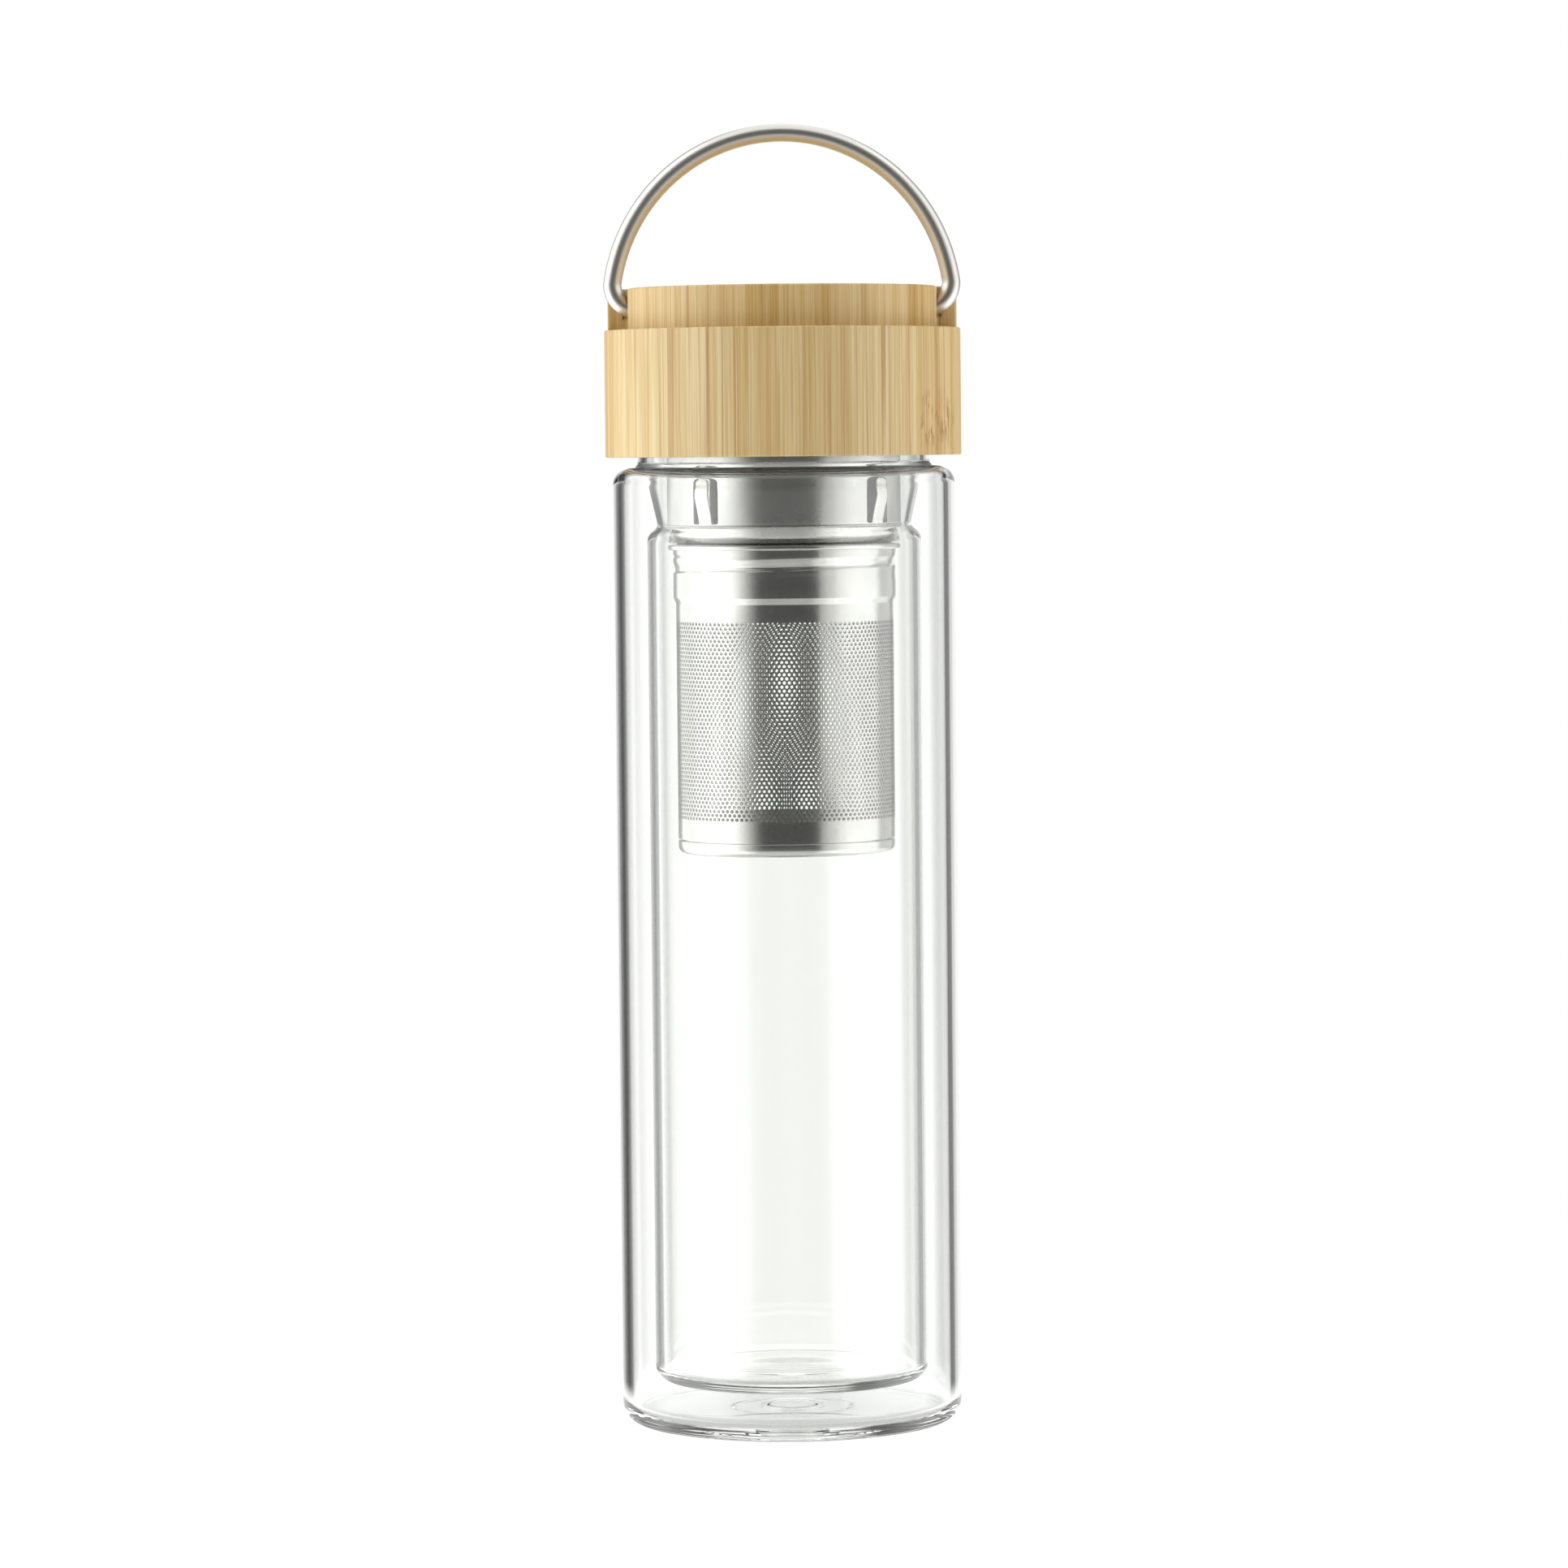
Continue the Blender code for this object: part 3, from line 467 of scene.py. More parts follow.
def soft_silicone():
    """Matt white silicone, a little uneven in its skin."""

    def pattern(root):
        place, _, _, _ = object_place(root)
        cloud = place.noise(250, 3)
        grain = place.noise(6000, 2)
        return {
            "Base Color": cloud.ramp(0.3, 0.7).mix((0.86, 0.86, 0.84, 1), (0.80, 0.80, 0.78, 1)),
            "Roughness": 0.55 + grain * 0.15,
            "Height": (grain, 0.01 * MM),
        }

    return surface("soft_silicone", {}, pattern)


# Meshes


def outline(corners, closed=True):
    """The points of an outline. A corner is (radius, height) or (radius, height, rounding).

    Long walls get a support ring near each end, so that smooth shading leaves them flat.
    """
    arcs = []
    for i, corner in enumerate(corners):
        here = Vector(corner[:2])
        rounding = corner[2] if len(corner) > 2 else 0
        if not rounding or (not closed and i in (0, len(corners) - 1)):
            arcs.append([here])
            continue
        before = (Vector(corners[i - 1][:2]) - here).normalized()
        after = (Vector(corners[(i + 1) % len(corners)][:2]) - here).normalized()
        half = before.angle(after) / 2
        reach = rounding / tan(half)
        centre = here + (before + after).normalized() * rounding / sin(half)
        first = here + before * reach - centre
        last = here + after * reach - centre
        sweep = atan2(first.x * last.y - first.y * last.x, first.dot(last))
        steps = max(ceil(abs(sweep) / ROUND_ANGLE), 2)
        turns = [Matrix.Rotation(sweep * step / steps, 2) for step in range(steps + 1)]
        arcs.append([centre + turn @ first for turn in turns])
    points = []
    for i, arc in enumerate(arcs):
        points += arc
        if i + 1 == len(arcs) and not closed:
            break
        start, end = arc[-1], arcs[(i + 1) % len(arcs)][0]
        if (end - start).length > LONG_WALL:
            along = (end - start).normalized() * SUPPORT
            points += [start + along, end - along]
    return points


def everything(bm):
    return list(bm.verts) + list(bm.edges) + list(bm.faces)


def verts_in(geometry):
    return [g for g in geometry if isinstance(g, bmesh.types.BMVert)]


def edges_in(geometry):
    return [g for g in geometry if isinstance(g, bmesh.types.BMEdge)]


def rotate(bm, verts, angle):
    """Turns the vertices about the Z axis."""
    bmesh.ops.rotate(bm, verts=verts, cent=(0, 0, 0), matrix=Matrix.Rotation(angle, 3, "Z"))


def repeat_round(bm, count):
    """Copies the whole shape to evenly spaced places round the Z axis."""
    bmesh.ops.spin(
        bm, geom=everything(bm), axis=(0, 0, 1), cent=(0, 0, 0),
        angle=2 * pi / count * (count - 1), steps=count - 1, use_duplicate=True,
    )


def rows(radius, top, bottom, spacing):
    """Corners down a wall, close enough together to carry a thread."""
    count = ceil((top - bottom) / spacing)
    return [(radius, top + (bottom - top) * i / count) for i in range(count + 1)]


def turned(points, closed=True, segments=SEGMENTS):
    """A bmesh of the outline turned about the Z axis."""
    bm = bmesh.new()
    verts = [bm.verts.new((p[0], 0, p[1])) for p in points]
    ends = verts[1:] + verts[:1] if closed else verts[1:]
    edges = [bm.edges.new(pair) for pair in zip(verts, ends)]
    bmesh.ops.spin(
        bm, geom=verts + edges, axis=(0, 0, 1), cent=(0, 0, 0), angle=2 * pi, steps=segments,
        use_merge=True,
    )
    bmesh.ops.remove_doubles(bm, verts=bm.verts, dist=WELD)
    bmesh.ops.dissolve_degenerate(bm, dist=WELD, edges=bm.edges)
    bmesh.ops.recalc_face_normals(bm, faces=bm.faces)
    return bm


def turned_sheet(corners, segments=SEGMENTS):
    """An open sheet of revolution, whose faces point away from the axis."""
    bm = turned(outline(corners, closed=False), closed=False, segments=segments)
    bm.normal_update()
    centres = [(f.normal, f.calc_center_median(), f.calc_area()) for f in bm.faces]
    if sum((normal.x * at.x + normal.y * at.y) * area for normal, at, area in centres) < 0:
        bmesh.ops.reverse_faces(bm, faces=bm.faces)
    return bm


def wind_thread(bm, radius, height, pitch, top, bottom, crest, fades, flanks=(0.5, 0.5)):
    """Raises a right-hand thread of the given height on a wall, or sinks it below zero height.

    crest is a height at which the thread's crest passes +X. fades says over how many pitches
    the thread fades out at the top and at the bottom. flanks says how many pitches the thread
    takes above its crest and below it.
    """
    for v in bm.verts:
        r = hypot(v.co.x, v.co.y)
        if abs(r - radius) > WELD or not bottom < v.co.z < top:
            continue
        turn = (v.co.z - crest) / pitch - atan2(v.co.y, v.co.x) / (2 * pi)
        off = (turn + flanks[1]) % 1 - flanks[1]
        off = min(off / flanks[0], 1) if off > 0 else -off / flanks[1]
        wave = (1 + cos(pi * off)) / 2
        fade = 1
        for share, away in zip(fades, (top - v.co.z, v.co.z - bottom)):
            if share:
                fade = min(fade, away / (share * pitch))
        r += height * wave ** 1.5 * fade
        v.co.x, v.co.y = v.co.x * r / radius, v.co.y * r / radius


def piece(name, bm, material):
    """A named object made from the bmesh."""
    mesh = bpy.data.meshes.new(name)
    bm.to_mesh(mesh)
    bm.free()
    made = bpy.data.objects.new(name, mesh)
    bpy.context.collection.objects.link(made)
    made.data.materials.append(material)
    return made


def dress(made, body, slot, *nodes, sharp=35):
    """Shades a piece smooth but for its sharp edges, and sets it in the frame."""
    made.data.shade_smooth()
    made.data.set_sharp_from_angle(angle=radians(sharp))
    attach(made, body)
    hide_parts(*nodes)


def final_mesh(made):
    """The mesh of a shape with its modifiers worked in."""
    bpy.context.view_layer.update()
    graph = bpy.context.evaluated_depsgraph_get()
    return bpy.data.meshes.new_from_object(made.evaluated_get(graph))


def settle(made):
    """Works a piece's modifiers into its mesh."""
    mesh = final_mesh(made)
    made.modifiers.clear()
    made.data = mesh
    return made


def thicken(made, thickness=SHEET):
    """Gives a sheet its thickness, inwards from the outer surface."""
    modifier = made.modifiers.new("sheet", "SOLIDIFY")
    modifier.thickness = thickness
    modifier.offset = -1
    modifier.use_even_offset = True
    return made


def combine(target, operation, other):
    """Cuts the other shape from the target, or joins it on. The other shape is used up."""
    modifier = target.modifiers.new("combine", "BOOLEAN")
    modifier.operation = operation
    modifier.object = other
    modifier.solver = "EXACT"
    settle(target)
    bpy.data.objects.remove(other)


def glass_jacket(glass):
    """The outer glass with its heel, shoulder, threaded neck and punt."""
    bore = LAYER_RADIUS + GAP
    thread_top = JACKET_TOP - NECK_THREAD_DROP
    thread_bottom = thread_top - NECK_THREAD_TURNS * NECK_PITCH
    vent = PLUG_RADIUS + GAP
    step = vent - VENT_STEP_WIDTH
    corners = [
        (vent, PUNT_DEPTH),
        (PUNT_RADIUS - PUNT_DEPTH, PUNT_DEPTH, PUNT_ROUND),
        (PUNT_RADIUS, 0, PUNT_ROUND),
        (BODY_RADIUS, 0, HEEL_ROUND),
        (BODY_RADIUS, BODY_HEIGHT, SHOULDER_ROUND),
        (NECK_RADIUS, BODY_HEIGHT, NECK_ROUND),
        *reversed(rows(NECK_RADIUS, thread_top, thread_bottom, NECK_PITCH / THREAD_ROWS)),
        (NECK_RADIUS, JACKET_TOP, JACKET_RIM_ROUND),
        (bore, JACKET_TOP, JACKET_RIM_ROUND),
        (bore, BODY_HEIGHT - SHOULDER_WALL, NECK_ROUND),
        (BODY_RADIUS - BODY_WALL, BODY_HEIGHT - SHOULDER_WALL, SHOULDER_INNER_ROUND),
        (BODY_RADIUS - BODY_WALL, BASE_THICKNESS, HEEL_ROUND - BODY_WALL),
        (step, BASE_THICKNESS, FINE_ROUND),
        (step, PUNT_DEPTH + VENT_STEP_HEIGHT),
        (vent, PUNT_DEPTH + VENT_STEP_HEIGHT),
    ]
    bm = turned(outline(corners))
    thread = NECK_THREAD_HEIGHT, NECK_PITCH, thread_top, thread_bottom, thread_bottom
    wind_thread(bm, NECK_RADIUS, *thread, (0.5, 0.5))
    dress(piece("glass_jacket", bm, glass), "glass", "glass", "outer_glass")


def glass_vessel(glass):
    """The inner glass: floor, wall, waist, flared neck and the rim over the jacket's neck."""
    slope_foot = RIM - WAIST_DROP - VESSEL_SLOPE
    shoulder, shoulder_round = VESSEL_SHOULDER
    inner_shoulder, inner_round = VESSEL_INNER_SHOULDER
    inside = VESSEL_RADIUS - VESSEL_WALL
    floor_top = VESSEL_BOTTOM + VESSEL_FLOOR
    corners = [
        (0, VESSEL_BOTTOM),
        (VESSEL_RADIUS, VESSEL_BOTTOM, VESSEL_ROUND),
        (VESSEL_RADIUS, slope_foot + shoulder, shoulder_round),
        (WAIST_BORE + WAIST_WALL, RIM - WAIST_DROP, WAIST_ROUND),
        (LAYER_RADIUS, RIM - FLARE_DROP, FLARE_ROUND),
        (LAYER_RADIUS, RIM - RIM_THICKNESS, 0.2 * MM),
        (NECK_RADIUS, RIM - RIM_THICKNESS, RIM_FOOT_ROUND),
        (NECK_RADIUS, RIM, RIM_ROUND),
        (NECK_BORE, RIM, RIM_ROUND),
        (NECK_BORE, RIM - FLARE_DROP, FLARE_ROUND),
        (WAIST_BORE, RIM - WAIST_DROP, WAIST_INNER_ROUND),
        (inside, slope_foot + inner_shoulder, inner_round),
        (inside, floor_top, VESSEL_ROUND - VESSEL_WALL),
        (2 * LENS_RADIUS, floor_top, LENS_FOOT_ROUND),
        (LENS_RADIUS, floor_top + LENS_RISE / 2, LENS_ROUND),
        (0, floor_top + LENS_RISE),
    ]
    bm = turned(outline(corners, closed=False), closed=False)
    dress(piece("glass_vessel", bm, glass), "glass", "glass", "inner_glass")


def vent_plug(glass):
    """The stepped glass plug melted into the vent of the base."""
    step = PLUG_BOTTOM + VENT_STEP_HEIGHT - GAP
    corners = [
        (0, PLUG_BOTTOM),
        (PLUG_RADIUS, PLUG_BOTTOM, FINE_ROUND),
        (PLUG_RADIUS, step, 0.2 * MM),
        (PLUG_RADIUS - VENT_STEP_WIDTH, step),
        (PLUG_RADIUS - VENT_STEP_WIDTH, PLUG_TOP, 0.4 * MM),
        (0, PLUG_TOP),
    ]
    bm = turned(outline(corners, closed=False), closed=False)
    dress(piece("vent_plug", bm, glass), "glass", "glass", "vent_seal")


def at_each_tab(bm):
    """Copies one tab's shape, made at +X, to each tab's place."""
    rotate(bm, bm.verts, radians(TAB_TURN - 90))
    repeat_round(bm, TAB_COUNT)
    return bm


def slot_cutter():
    """A block with a round top through the sleeve, for each spring tab."""
    bm = bmesh.new()
    half = SLOT_WIDTH / 2
    plan = [(-half, SLOT_BOTTOM), (half, SLOT_BOTTOM), (half, SLOT_TOP), (-half, SLOT_TOP)]
    corners = [bm.verts.new((SLEEVE_RADIUS - 2 * SHEET, y, z)) for y, z in plan]
    bm.faces.new(corners)
    for pair, rounding in ((corners[:2], SLOT_FOOT_ROUND), (corners[2:], SLOT_TOP_ROUND)):
        bmesh.ops.bevel(
            bm, geom=pair, offset=rounding, affect="VERTICES", segments=6, profile=0.5, material=-1
        )
    moved = bmesh.ops.extrude_face_region(bm, geom=list(bm.faces))["geom"]
    bmesh.ops.translate(bm, vec=(3 * SHEET, 0, 0), verts=verts_in(moved))
    bmesh.ops.recalc_face_normals(bm, faces=bm.faces)
    return at_each_tab(bm)


def spring_tabs(steel):
    """The lanced tongues: up from the slot's foot, out to a knee, and back in at the round tip."""
    bm = bmesh.new()
    path = [(SLEEVE_RADIUS + out * MM, SLOT_BOTTOM + height * MM) for out, height in TAB_PATH]
    spine = [bm.verts.new((r, -TAB_WIDTH / 2, z)) for r, z in path]
    edges = [bm.edges.new(pair) for pair in zip(spine, spine[1:])]
    for _ in range(TAB_STRIPS):
        moved = bmesh.ops.extrude_edge_only(bm, edges=edges)["geom"]
        edges = edges_in(moved)
        bmesh.ops.translate(bm, vec=(0, TAB_WIDTH / TAB_STRIPS, 0), verts=verts_in(moved))
    top = max(z for _, z in path)
    for v in bm.verts:
        into_head = (v.co.z - top + TAB_HEAD) / TAB_HEAD
        if into_head > 0:
            v.co.y *= sqrt(1 - into_head**2 * TAB_HEAD_SHARE)
    bmesh.ops.recalc_face_normals(bm, faces=bm.faces)
    bm.normal_update()
    if sum(f.normal.x for f in bm.faces) < 0:
        bmesh.ops.reverse_faces(bm, faces=bm.faces)
    made = thicken(piece("spring_tabs", at_each_tab(bm), steel), TAB_SHEET)
    subdivide = made.modifiers.new("smooth", "SUBSURF")
    subdivide.levels = subdivide.render_levels = 2
    dress(settle(made), "infuser", "infuser_steel", "infuser_sleeve")


def infuser_tube(steel):
    """The sleeve from its flange down to the skirt with the rolled thread."""
    corners = [
        (FLANGE_RADIUS, FLANGE_TOP - SHEET),
        (SLEEVE_RADIUS, FLANGE_TOP - SHEET, 0.8 * MM),
        (SLEEVE_RADIUS, BEAD_TOP, 0.1 * MM),
        (BEAD_RADIUS, BEAD_TOP - BEAD_STEP, 0.4 * MM),
        (BEAD_RADIUS - BEAD_LEAN, BEAD_BOTTOM + 2 * BEAD_LEAN, 2.0 * MM),
        (BEAD_RADIUS - 3 * BEAD_LEAN, BEAD_BOTTOM, 0.4 * MM),
        (SKIRT_RADIUS, BEAD_BOTTOM, FINE_ROUND),
        *rows(SKIRT_RADIUS, ROLLED_TOP, SKIRT_BOTTOM, ROLLED_PITCH / THREAD_ROWS),
    ]
    bm = turned_sheet(corners)
    thread = -ROLLED_DEPTH, ROLLED_PITCH, ROLLED_TOP, SKIRT_BOTTOM - SHEET, ROLLED_CREST
    wind_thread(bm, SKIRT_RADIUS, *thread, (0.3, 0), ROLLED_FLANKS)
    made = settle(thicken(piece("infuser_tube", bm, steel)))
    combine(made, "DIFFERENCE", piece("slot_cutter", slot_cutter(), steel))
    dress(made, "infuser", "infuser_steel", "infuser_sleeve")


def hole_cell(half_width, row_step, radius, sides):
    """A flat six-sided cell with a round hole, facing +Z."""
    bm = bmesh.new()
    corners = [(0, -2), (1, -1), (1, 1), (0, 2), (-1, 1), (-1, -1)]
    outer = [bm.verts.new((x * half_width, y * row_step / 3, 0)) for x, y in corners]
    for i in range(len(outer)):
        bm.edges.new((outer[i - 1], outer[i]))
    bmesh.ops.create_circle(bm, segments=sides, radius=radius)
    bmesh.ops.bridge_loops(bm, edges=list(bm.edges))
    bm.normal_update()
    if sum(f.normal.z for f in bm.faces) < 0:
        bmesh.ops.reverse_faces(bm, faces=bm.faces)
    return bm


def basket_mesh(steel):
    """The perforated wall, in pieces of a few rows of holes each."""
    half_width = BASKET_RADIUS * tan(pi / HOLE_COLUMNS)
    piece_rows = HOLE_ROWS // MESH_PIECES  # an even number, as every second row is staggered
    upright = Matrix(((0, 0, 1), (1, 0, 0), (0, 1, 0))).to_4x4()
    place = Matrix.Translation((BASKET_RADIUS, 0, HOLE_TOP)) @ upright
    for part in range(MESH_PIECES):
        bm = hole_cell(half_width, HOLE_ROW_STEP, HOLE_RADIUS, HOLE_SIDES)
        bmesh.ops.transform(bm, matrix=place, verts=bm.verts)
        repeat_round(bm, HOLE_COLUMNS)
        first_row = everything(bm)
        for row in range(1, piece_rows):
            verts = verts_in(bmesh.ops.duplicate(bm, geom=first_row)["geom"])
            rotate(bm, verts, pi / HOLE_COLUMNS * (row % 2))
            bmesh.ops.translate(bm, vec=(0, 0, -row * HOLE_ROW_STEP), verts=verts)
        bmesh.ops.remove_doubles(bm, verts=bm.verts, dist=CELL_WELD)
        drop = part * piece_rows * HOLE_ROW_STEP
        bmesh.ops.translate(bm, vec=(0, 0, -drop), verts=bm.verts)
        if part == 0:
            add_plain_band(bm, HOLE_TOP, COLLAR_BOTTOM)
        if part == MESH_PIECES - 1:
            add_plain_band(bm, HOLE_TOP - (HOLE_ROWS - 1) * HOLE_ROW_STEP, BASKET_BOTTOM)
        wall = thicken(piece(f"basket_mesh_{part + 1}", bm, steel))
        dress(settle(wall), "basket", "infuser_steel", "infuser_basket")


def add_plain_band(bm, row_height, end):
    """Draws the zigzag edge of the outer row of cells out to a plain band."""
    side = 1 if end > row_height else -1
    border = [
        e for e in bm.edges
        if e.is_boundary
        and e.calc_length() > HOLE_RADIUS
        and all((v.co.z - row_height) * side > HOLE_ROW_STEP / 3 - CELL_WELD for v in e.verts)
    ]
    level = row_height + side * HOLE_ROW_STEP
    for height in (level, level + side * SUPPORT, end - side * SUPPORT, end):
        moved = bmesh.ops.extrude_edge_only(bm, edges=border)["geom"]
        border = edges_in(moved)
        for v in verts_in(moved):
            v.co.z = height


def basket_collar(steel):
    """The collar with its rolled thread, and its lip."""
    corners = [
        (COLLAR_RADIUS, BASKET_TOP - SHEET),
        *rows(COLLAR_RADIUS, ROLLED_TOP, ROLLED_BOTTOM, ROLLED_PITCH / THREAD_ROWS),
        (COLLAR_RADIUS, COLLAR_FOOT, 0.4 * MM),
        (BASKET_RADIUS, COLLAR_BOTTOM),
    ]
    bm = turned_sheet(corners)
    thread = -ROLLED_DEPTH, ROLLED_PITCH, ROLLED_TOP, ROLLED_BOTTOM, ROLLED_CREST
    wind_thread(bm, COLLAR_RADIUS, *thread, (0.3, 0.9), ROLLED_FLANKS)
    collar = settle(thicken(piece("basket_collar", bm, steel)))
    corners = [
        (COLLAR_RADIUS - SHEET, BASKET_TOP - LIP_THICKNESS),
        (LIP_RADIUS, BASKET_TOP - LIP_THICKNESS, LIP_ROUND),
        (LIP_RADIUS, BASKET_TOP, LIP_ROUND),
        (COLLAR_RADIUS - SHEET, BASKET_TOP, FINE_ROUND),
    ]
    lip = piece("basket_lip", turned(outline(corners)), steel)
    for made in (lip, collar):
        dress(made, "basket", "infuser_steel", "infuser_basket")


def perforated_disc(radius, height):
    """A flat round sheet, with its holes in staggered rows, facing down."""
    row_step = PLATE_STEP * sqrt(3) / 2
    bm = hole_cell(PLATE_STEP / 2, row_step, PLATE_HOLE_RADIUS, PLATE_HOLE_SIDES)
    first = everything(bm)
    reach = radius - PLATE_STEP
    rows_out = int(reach / row_step)
    columns_out = int(reach / PLATE_STEP) + 1
    for row in range(-rows_out, rows_out + 1):
        y = row * row_step
        for column in range(-columns_out, columns_out + 1):
            x = (column + row % 2 / 2) * PLATE_STEP
            if hypot(x, y) > reach or (row == 0 and column == 0):
                continue
            verts = verts_in(bmesh.ops.duplicate(bm, geom=first)["geom"])
            bmesh.ops.translate(bm, vec=(x, y, 0), verts=verts)
    bmesh.ops.remove_doubles(bm, verts=bm.verts, dist=CELL_WELD)
    longest = PLATE_HOLE_RADIUS * 0.8  # above the length of a hole's own edges
    border = [e for e in bm.edges if e.is_boundary and e.calc_length() > longest]
    bmesh.ops.create_circle(bm, segments=SEGMENTS, radius=radius)
    rim_edges = [e for e in bm.edges if e.is_wire]
    bmesh.ops.triangle_fill(bm, use_beauty=True, use_dissolve=False, edges=border + rim_edges)
    bmesh.ops.translate(bm, vec=(0, 0, height), verts=bm.verts)
    bm.normal_update()
    for face in bm.faces:
        if face.normal.z > 0:
            face.normal_flip()
    return bm


def sieve(steel):
    """The finely perforated disc that keeps the leaves in the basket."""
    bm = perforated_disc(SIEVE_RADIUS, SIEVE_BOTTOM)
    made = thicken(piece("sieve", bm, steel), SIEVE_TOP - SIEVE_BOTTOM)
    dress(settle(made), "infuser", "infuser_steel", "sieve_plate")


def basket_cup(steel):
    """The pressed cup that closes the basket, with a finely perforated floor."""
    spigot = BASKET_RADIUS - SHEET - GAP
    corners = [
        (spigot, SPIGOT_TOP),
        (spigot, CUP_TOP),
        (BASKET_RADIUS, CUP_TOP, 0.25 * MM),
        (BASKET_RADIUS, CUP_BOTTOM, CUP_ROUND),
        (CUP_FLOOR_RADIUS, CUP_BOTTOM),
    ]
    floor_shape = perforated_disc(CUP_FLOOR_RADIUS, CUP_BOTTOM)
    for name, bm in (("basket_cup", turned_sheet(corners)), ("basket_floor", floor_shape)):
        made = settle(thicken(piece(name, bm, steel)))
        dress(made, "basket_base", "infuser_steel", "basket_bottom")


def lid_tier():
    """The upper tier: wide behind the handle, and a narrower lobe in front of it."""
    bm = bmesh.new()
    plane = WIRE_RADIUS + GAP
    wide = atan2(plane, sqrt(TIER_RADIUS**2 - plane**2))
    lobe = atan2(plane, sqrt(LOBE_RADIUS**2 - plane**2))
    half = SEGMENTS // 2
    plan = [(TIER_RADIUS, wide + (pi - 2 * wide) * i / half) for i in range(half + 1)]
    plan += [(LOBE_RADIUS, pi - lobe + (pi + 2 * lobe) * i / half) for i in range(half + 1)]
    face = bm.faces.new([bm.verts.new((r * cos(a), r * sin(a), TIER_FOOT)) for r, a in plan])
    top = verts_in(bmesh.ops.extrude_face_region(bm, geom=[face])["geom"])
    bmesh.ops.translate(bm, vec=(0, 0, LID_TOP - TIER_FOOT), verts=top)
    bmesh.ops.recalc_face_normals(bm, faces=bm.faces)
    bm.normal_update()
    edges = [e for e in bm.edges if all(v in top for v in e.verts)]
    uprights = [e for e in bm.edges if sum(v in top for v in e.verts) == 1]
    edges += [e for e in uprights if e.calc_face_angle() > radians(30)]
    bmesh.ops.bevel(
        bm, geom=edges, offset=TIER_EDGE, affect="EDGES", segments=3, profile=0.5, material=-1
    )
    return bm


def bore_cutter(side):
    """One of the bores for the handle, flared where the wire bends in."""
    bore = WIRE_RADIUS + GAP
    depth = PIN_DEPTH + GAP
    mouth = bore + BORE_FLARE
    end = depth + BORE_END
    flare = depth - BORE_FLARE_LENGTH
    corners = [(0, 0), (bore, 0), (bore, flare), (mouth, depth), (mouth, end), (0, end)]
    bm = turned(corners, closed=False, segments=48)
    place = Matrix.Translation((side * (LOBE_RADIUS - depth), 0, PIVOT))
    turn = Matrix.Rotation(side * pi / 2, 4, "Y")
    bmesh.ops.transform(bm, matrix=place @ turn, verts=bm.verts)
    return bm


def turned_lid(wood):
    """The bamboo lid: the hollow ring, the stepped tier and the two bores."""
    corners = [
        (0, LID_CEILING),
        (LID_BORE, LID_CEILING, 0.6 * MM),
        (LID_BORE, LID_BOTTOM, FINE_ROUND),
        (LID_RADIUS, LID_BOTTOM, LID_EDGE),
        (LID_RADIUS, LEDGE, LID_EDGE),
        (0, LEDGE),
    ]
    made = piece("turned_lid", turned(outline(corners, closed=False), closed=False), wood)
    combine(made, "UNION", piece("lid_tier", lid_tier(), wood))
    for side in (1, -1):
        combine(made, "DIFFERENCE", piece("bore_cutter", bore_cutter(side), wood))
    dress(made, "lid", "bamboo", "bamboo_lid")


def threaded_liner(plastic):
    """The moulded liner with its internal thread."""
    ceiling = LINER_TOP - LINER_DISC
    thread_top = JACKET_TOP - NECK_THREAD_DROP - NECK_PITCH / 2
    thread_bottom = thread_top - LINER_THREAD_TURNS * NECK_PITCH
    corners = [
        (0, ceiling),
        (LINER_BORE, ceiling, 0.5 * MM),
        *rows(LINER_BORE, thread_top, thread_bottom, NECK_PITCH / THREAD_ROWS),
        (LINER_BORE, LINER_BOTTOM, FINE_ROUND),
        (LINER_RADIUS, LINER_BOTTOM, FINE_ROUND),
        (LINER_RADIUS, LINER_TOP, 1.0 * MM),
        (0, LINER_TOP),
    ]
    bm = turned(outline(corners, closed=False), closed=False)
    thread = -NECK_THREAD_HEIGHT, NECK_PITCH, thread_top, thread_bottom, thread_top
    wind_thread(bm, LINER_BORE, *thread, (0.5, 0.5))
    dress(piece("threaded_liner", bm, plastic), "lid", "liner", "lid_liner")


def seal_ring(silicone):
    """The silicone ring over the infuser's flange and the rim."""
    inside = GASKET_RADIUS - GASKET_WIDTH
    step = FLANGE_RADIUS + GAP
    corners = [
        (inside, FLANGE_TOP + GAP, FINE_ROUND),
        (step, FLANGE_TOP + GAP),
        (step, GASKET_BOTTOM, FINE_ROUND),
        (GASKET_RADIUS, GASKET_BOTTOM, FINE_ROUND),
        (GASKET_RADIUS, GASKET_TOP, FINE_ROUND),
        (inside, GASKET_TOP, FINE_ROUND),
    ]
    made = piece("seal_ring", turned(outline(corners)), silicone)
    dress(made, "seal", "silicone", "lid_gasket")


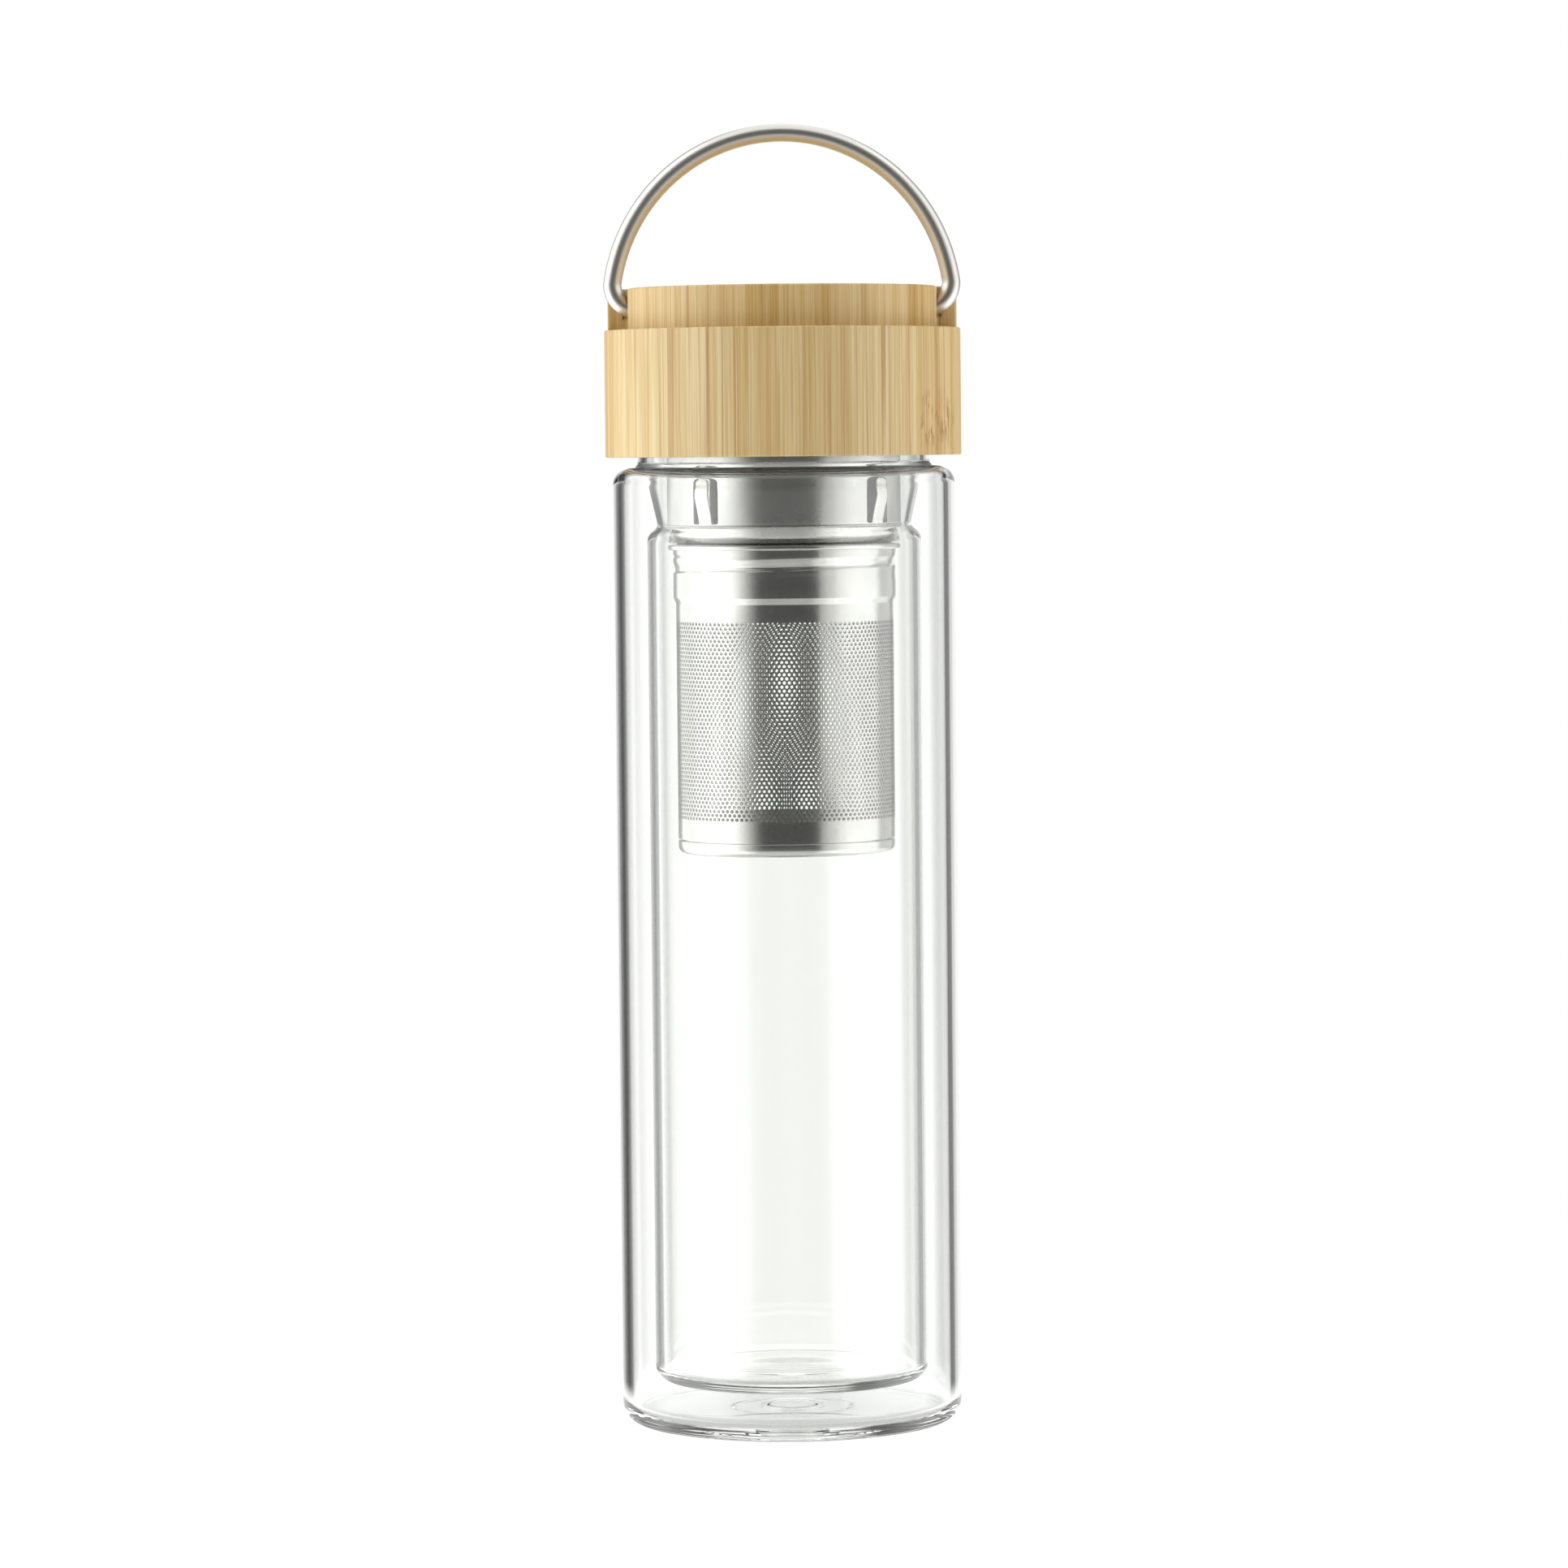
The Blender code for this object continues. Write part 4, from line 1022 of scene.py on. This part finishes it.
def wire_handle(steel):
    """The bent wire: an arch, and a bend at each end that turns in along the pivot's axis."""
    spring = ARCH_HALF_WIDTH * sqrt(1 - (BEND_RADIUS / ARCH_HEIGHT) ** 2)
    lowest = atan2(BEND_RADIUS / ARCH_HEIGHT, spring / ARCH_HALF_WIDTH)
    right = [(LOBE_RADIUS - PIN_DEPTH, 0)]
    bend_steps, arch_steps = 12, 96
    for i in range(bend_steps):
        angle = -pi / 2 + pi / 2 * i / bend_steps
        x, z = spring + BEND_RADIUS * (cos(angle) - 1), BEND_RADIUS * (1 + sin(angle))
        right.append((x, z))
    angles = [lowest + (pi - 2 * lowest) * i / arch_steps for i in range(arch_steps + 1)]
    arch = [(ARCH_HALF_WIDTH * cos(a), ARCH_HEIGHT * sin(a)) for a in angles]
    points = right + arch + [(-x, z) for x, z in reversed(right)]
    wire = bpy.data.curves.new("wire", "CURVE")
    wire.dimensions = "3D"
    wire.bevel_depth = WIRE_RADIUS
    wire.bevel_resolution = 10
    wire.use_fill_caps = True
    spline = wire.splines.new("POLY")
    spline.points.add(len(points) - 1)
    for point, (x, z) in zip(spline.points, points):
        point.co = (x, 0, PIVOT + z, 1)
    drawn = bpy.data.objects.new("wire", wire)
    bpy.context.collection.objects.link(drawn)
    bm = bmesh.new()
    bm.from_mesh(final_mesh(drawn))
    bpy.data.objects.remove(drawn)
    dress(piece("wire_handle", bm, steel), "handle", "handle_steel", "handle")


# Surroundings


def studio():
    """Soft light by direction: a window behind, a box on each side, and dark between them."""
    world = bpy.data.worlds.new("studio")
    bpy.context.scene.world = world
    world.use_nodes = True
    world.node_tree.nodes.clear()
    root = Value(world.node_tree)
    direction = root.node("ShaderNodeTexCoord", output="Generated")
    x, y, z = parts(direction)
    turn = x.math("ARCTAN2", x, y) * degrees(1)  # 0 behind the bottle, 90 on its right
    rise = z.math("ARCSINE", z) * degrees(1)
    middle = rise.band(-48, 56, 10)
    light = turn.band(71, 145, 5, 1) * turn.ramp(108, 146, 1.36, 0.6)  # the box on the right
    for start, end, soft, soft_end, strength in LIGHT_BOXES:
        light = light + turn.band(start, end, soft, soft_end) * strength
    light = DARK_LIGHT + light * middle
    above, below, straight_below = rise.ramp(42, 58), rise.ramp(-10, -22), rise.ramp(-42, -58)
    light = light + above * 1.1 + below * 0.54 + straight_below * 0.3
    seen = root.node("ShaderNodeLightPath", output="Is Camera Ray")
    sockets = {"Factor": seen, 2: light, 3: 1.0}
    strength = seen.node("ShaderNodeMix", {"data_type": "FLOAT"}, sockets)
    sockets = {"Color": (1, 1, 1, 1), "Strength": strength}
    background = root.node("ShaderNodeBackground", {}, sockets)
    root.node("ShaderNodeOutputWorld", {}, {"Surface": background})


def floor():
    """A pale round floor. Past the bottle's foot only the camera sees it.

    The glass shows the studio there, and a painted shadow right under the foot: a darker floor.
    """
    bm = bmesh.new()
    bmesh.ops.create_circle(bm, cap_ends=True, segments=128, radius=FLOOR_RADIUS)
    bmesh.ops.translate(bm, vec=(0, 0, -FLOOR_DROP), verts=bm.verts)
    made = piece("floor", bm, bpy.data.materials.new("pale_floor"))
    material = made.data.materials[0]
    material.use_nodes = True
    material.node_tree.nodes.clear()
    root = Value(material.node_tree)
    _, x, y, _ = object_place(root)
    away = (x * x + y * y) ** 0.5
    seen = root.node("ShaderNodeLightPath", output="Is Camera Ray")
    # painted shadow: the floor glows less right under the bottle's foot
    foot_shadow = away.ramp(*FOOT_SHADE, 0.40, 1.0)
    glow = root.node("ShaderNodeEmission", {}, {"Strength": seen.math("MAXIMUM", seen, foot_shadow)})
    matt = root.node("ShaderNodeBsdfDiffuse", {}, {"Color": (0.5, 0.5, 0.5, 1)})
    pale = root.node("ShaderNodeAddShader", {}, {0: glow, 1: matt})
    clear = root.node("ShaderNodeBsdfTransparent")
    hidden = (1 - seen) * away.ramp(*FLOOR_FADE)
    both = root.node("ShaderNodeMixShader", {}, {0: hidden, 1: pale, 2: clear})
    root.node("ShaderNodeOutputMaterial", {}, {"Surface": both})


def camera():
    """The photograph's view: from the front, a little above, and rolled a little."""
    data = bpy.data.cameras.new("camera")
    data.lens, data.sensor_width = CAMERA_LENS, 36
    data.clip_start, data.clip_end = 0.01, 20
    made = bpy.data.objects.new("camera", data)
    bpy.context.collection.objects.link(made)
    made.location = CAMERA_PLACE
    made.rotation_euler = (CAMERA_AIM - CAMERA_PLACE).to_track_quat("-Z", "Y").to_euler()
    made.rotation_euler.rotate_axis("Z", CAMERA_ROLL)
    bpy.context.scene.camera = made


camera()
studio()
floor()
bpy.context.scene.view_settings.view_transform = "Standard"
bpy.context.scene.cycles.max_bounces = LIGHT_BOUNCES
bpy.context.scene.cycles.transmission_bounces = LIGHT_BOUNCES
bpy.context.scene.cycles.glossy_bounces = LIGHT_BOUNCES

glass = clear_glass()
steel = pressed_steel()
wood = bamboo()
glass_jacket(glass)
glass_vessel(glass)
vent_plug(glass)
infuser_tube(steel)
spring_tabs(steel)
sieve(steel)
basket_collar(steel)
basket_mesh(steel)
basket_cup(steel)
turned_lid(wood)
threaded_liner(moulded_liner())
seal_ring(soft_silicone())
wire_handle(drawn_wire())
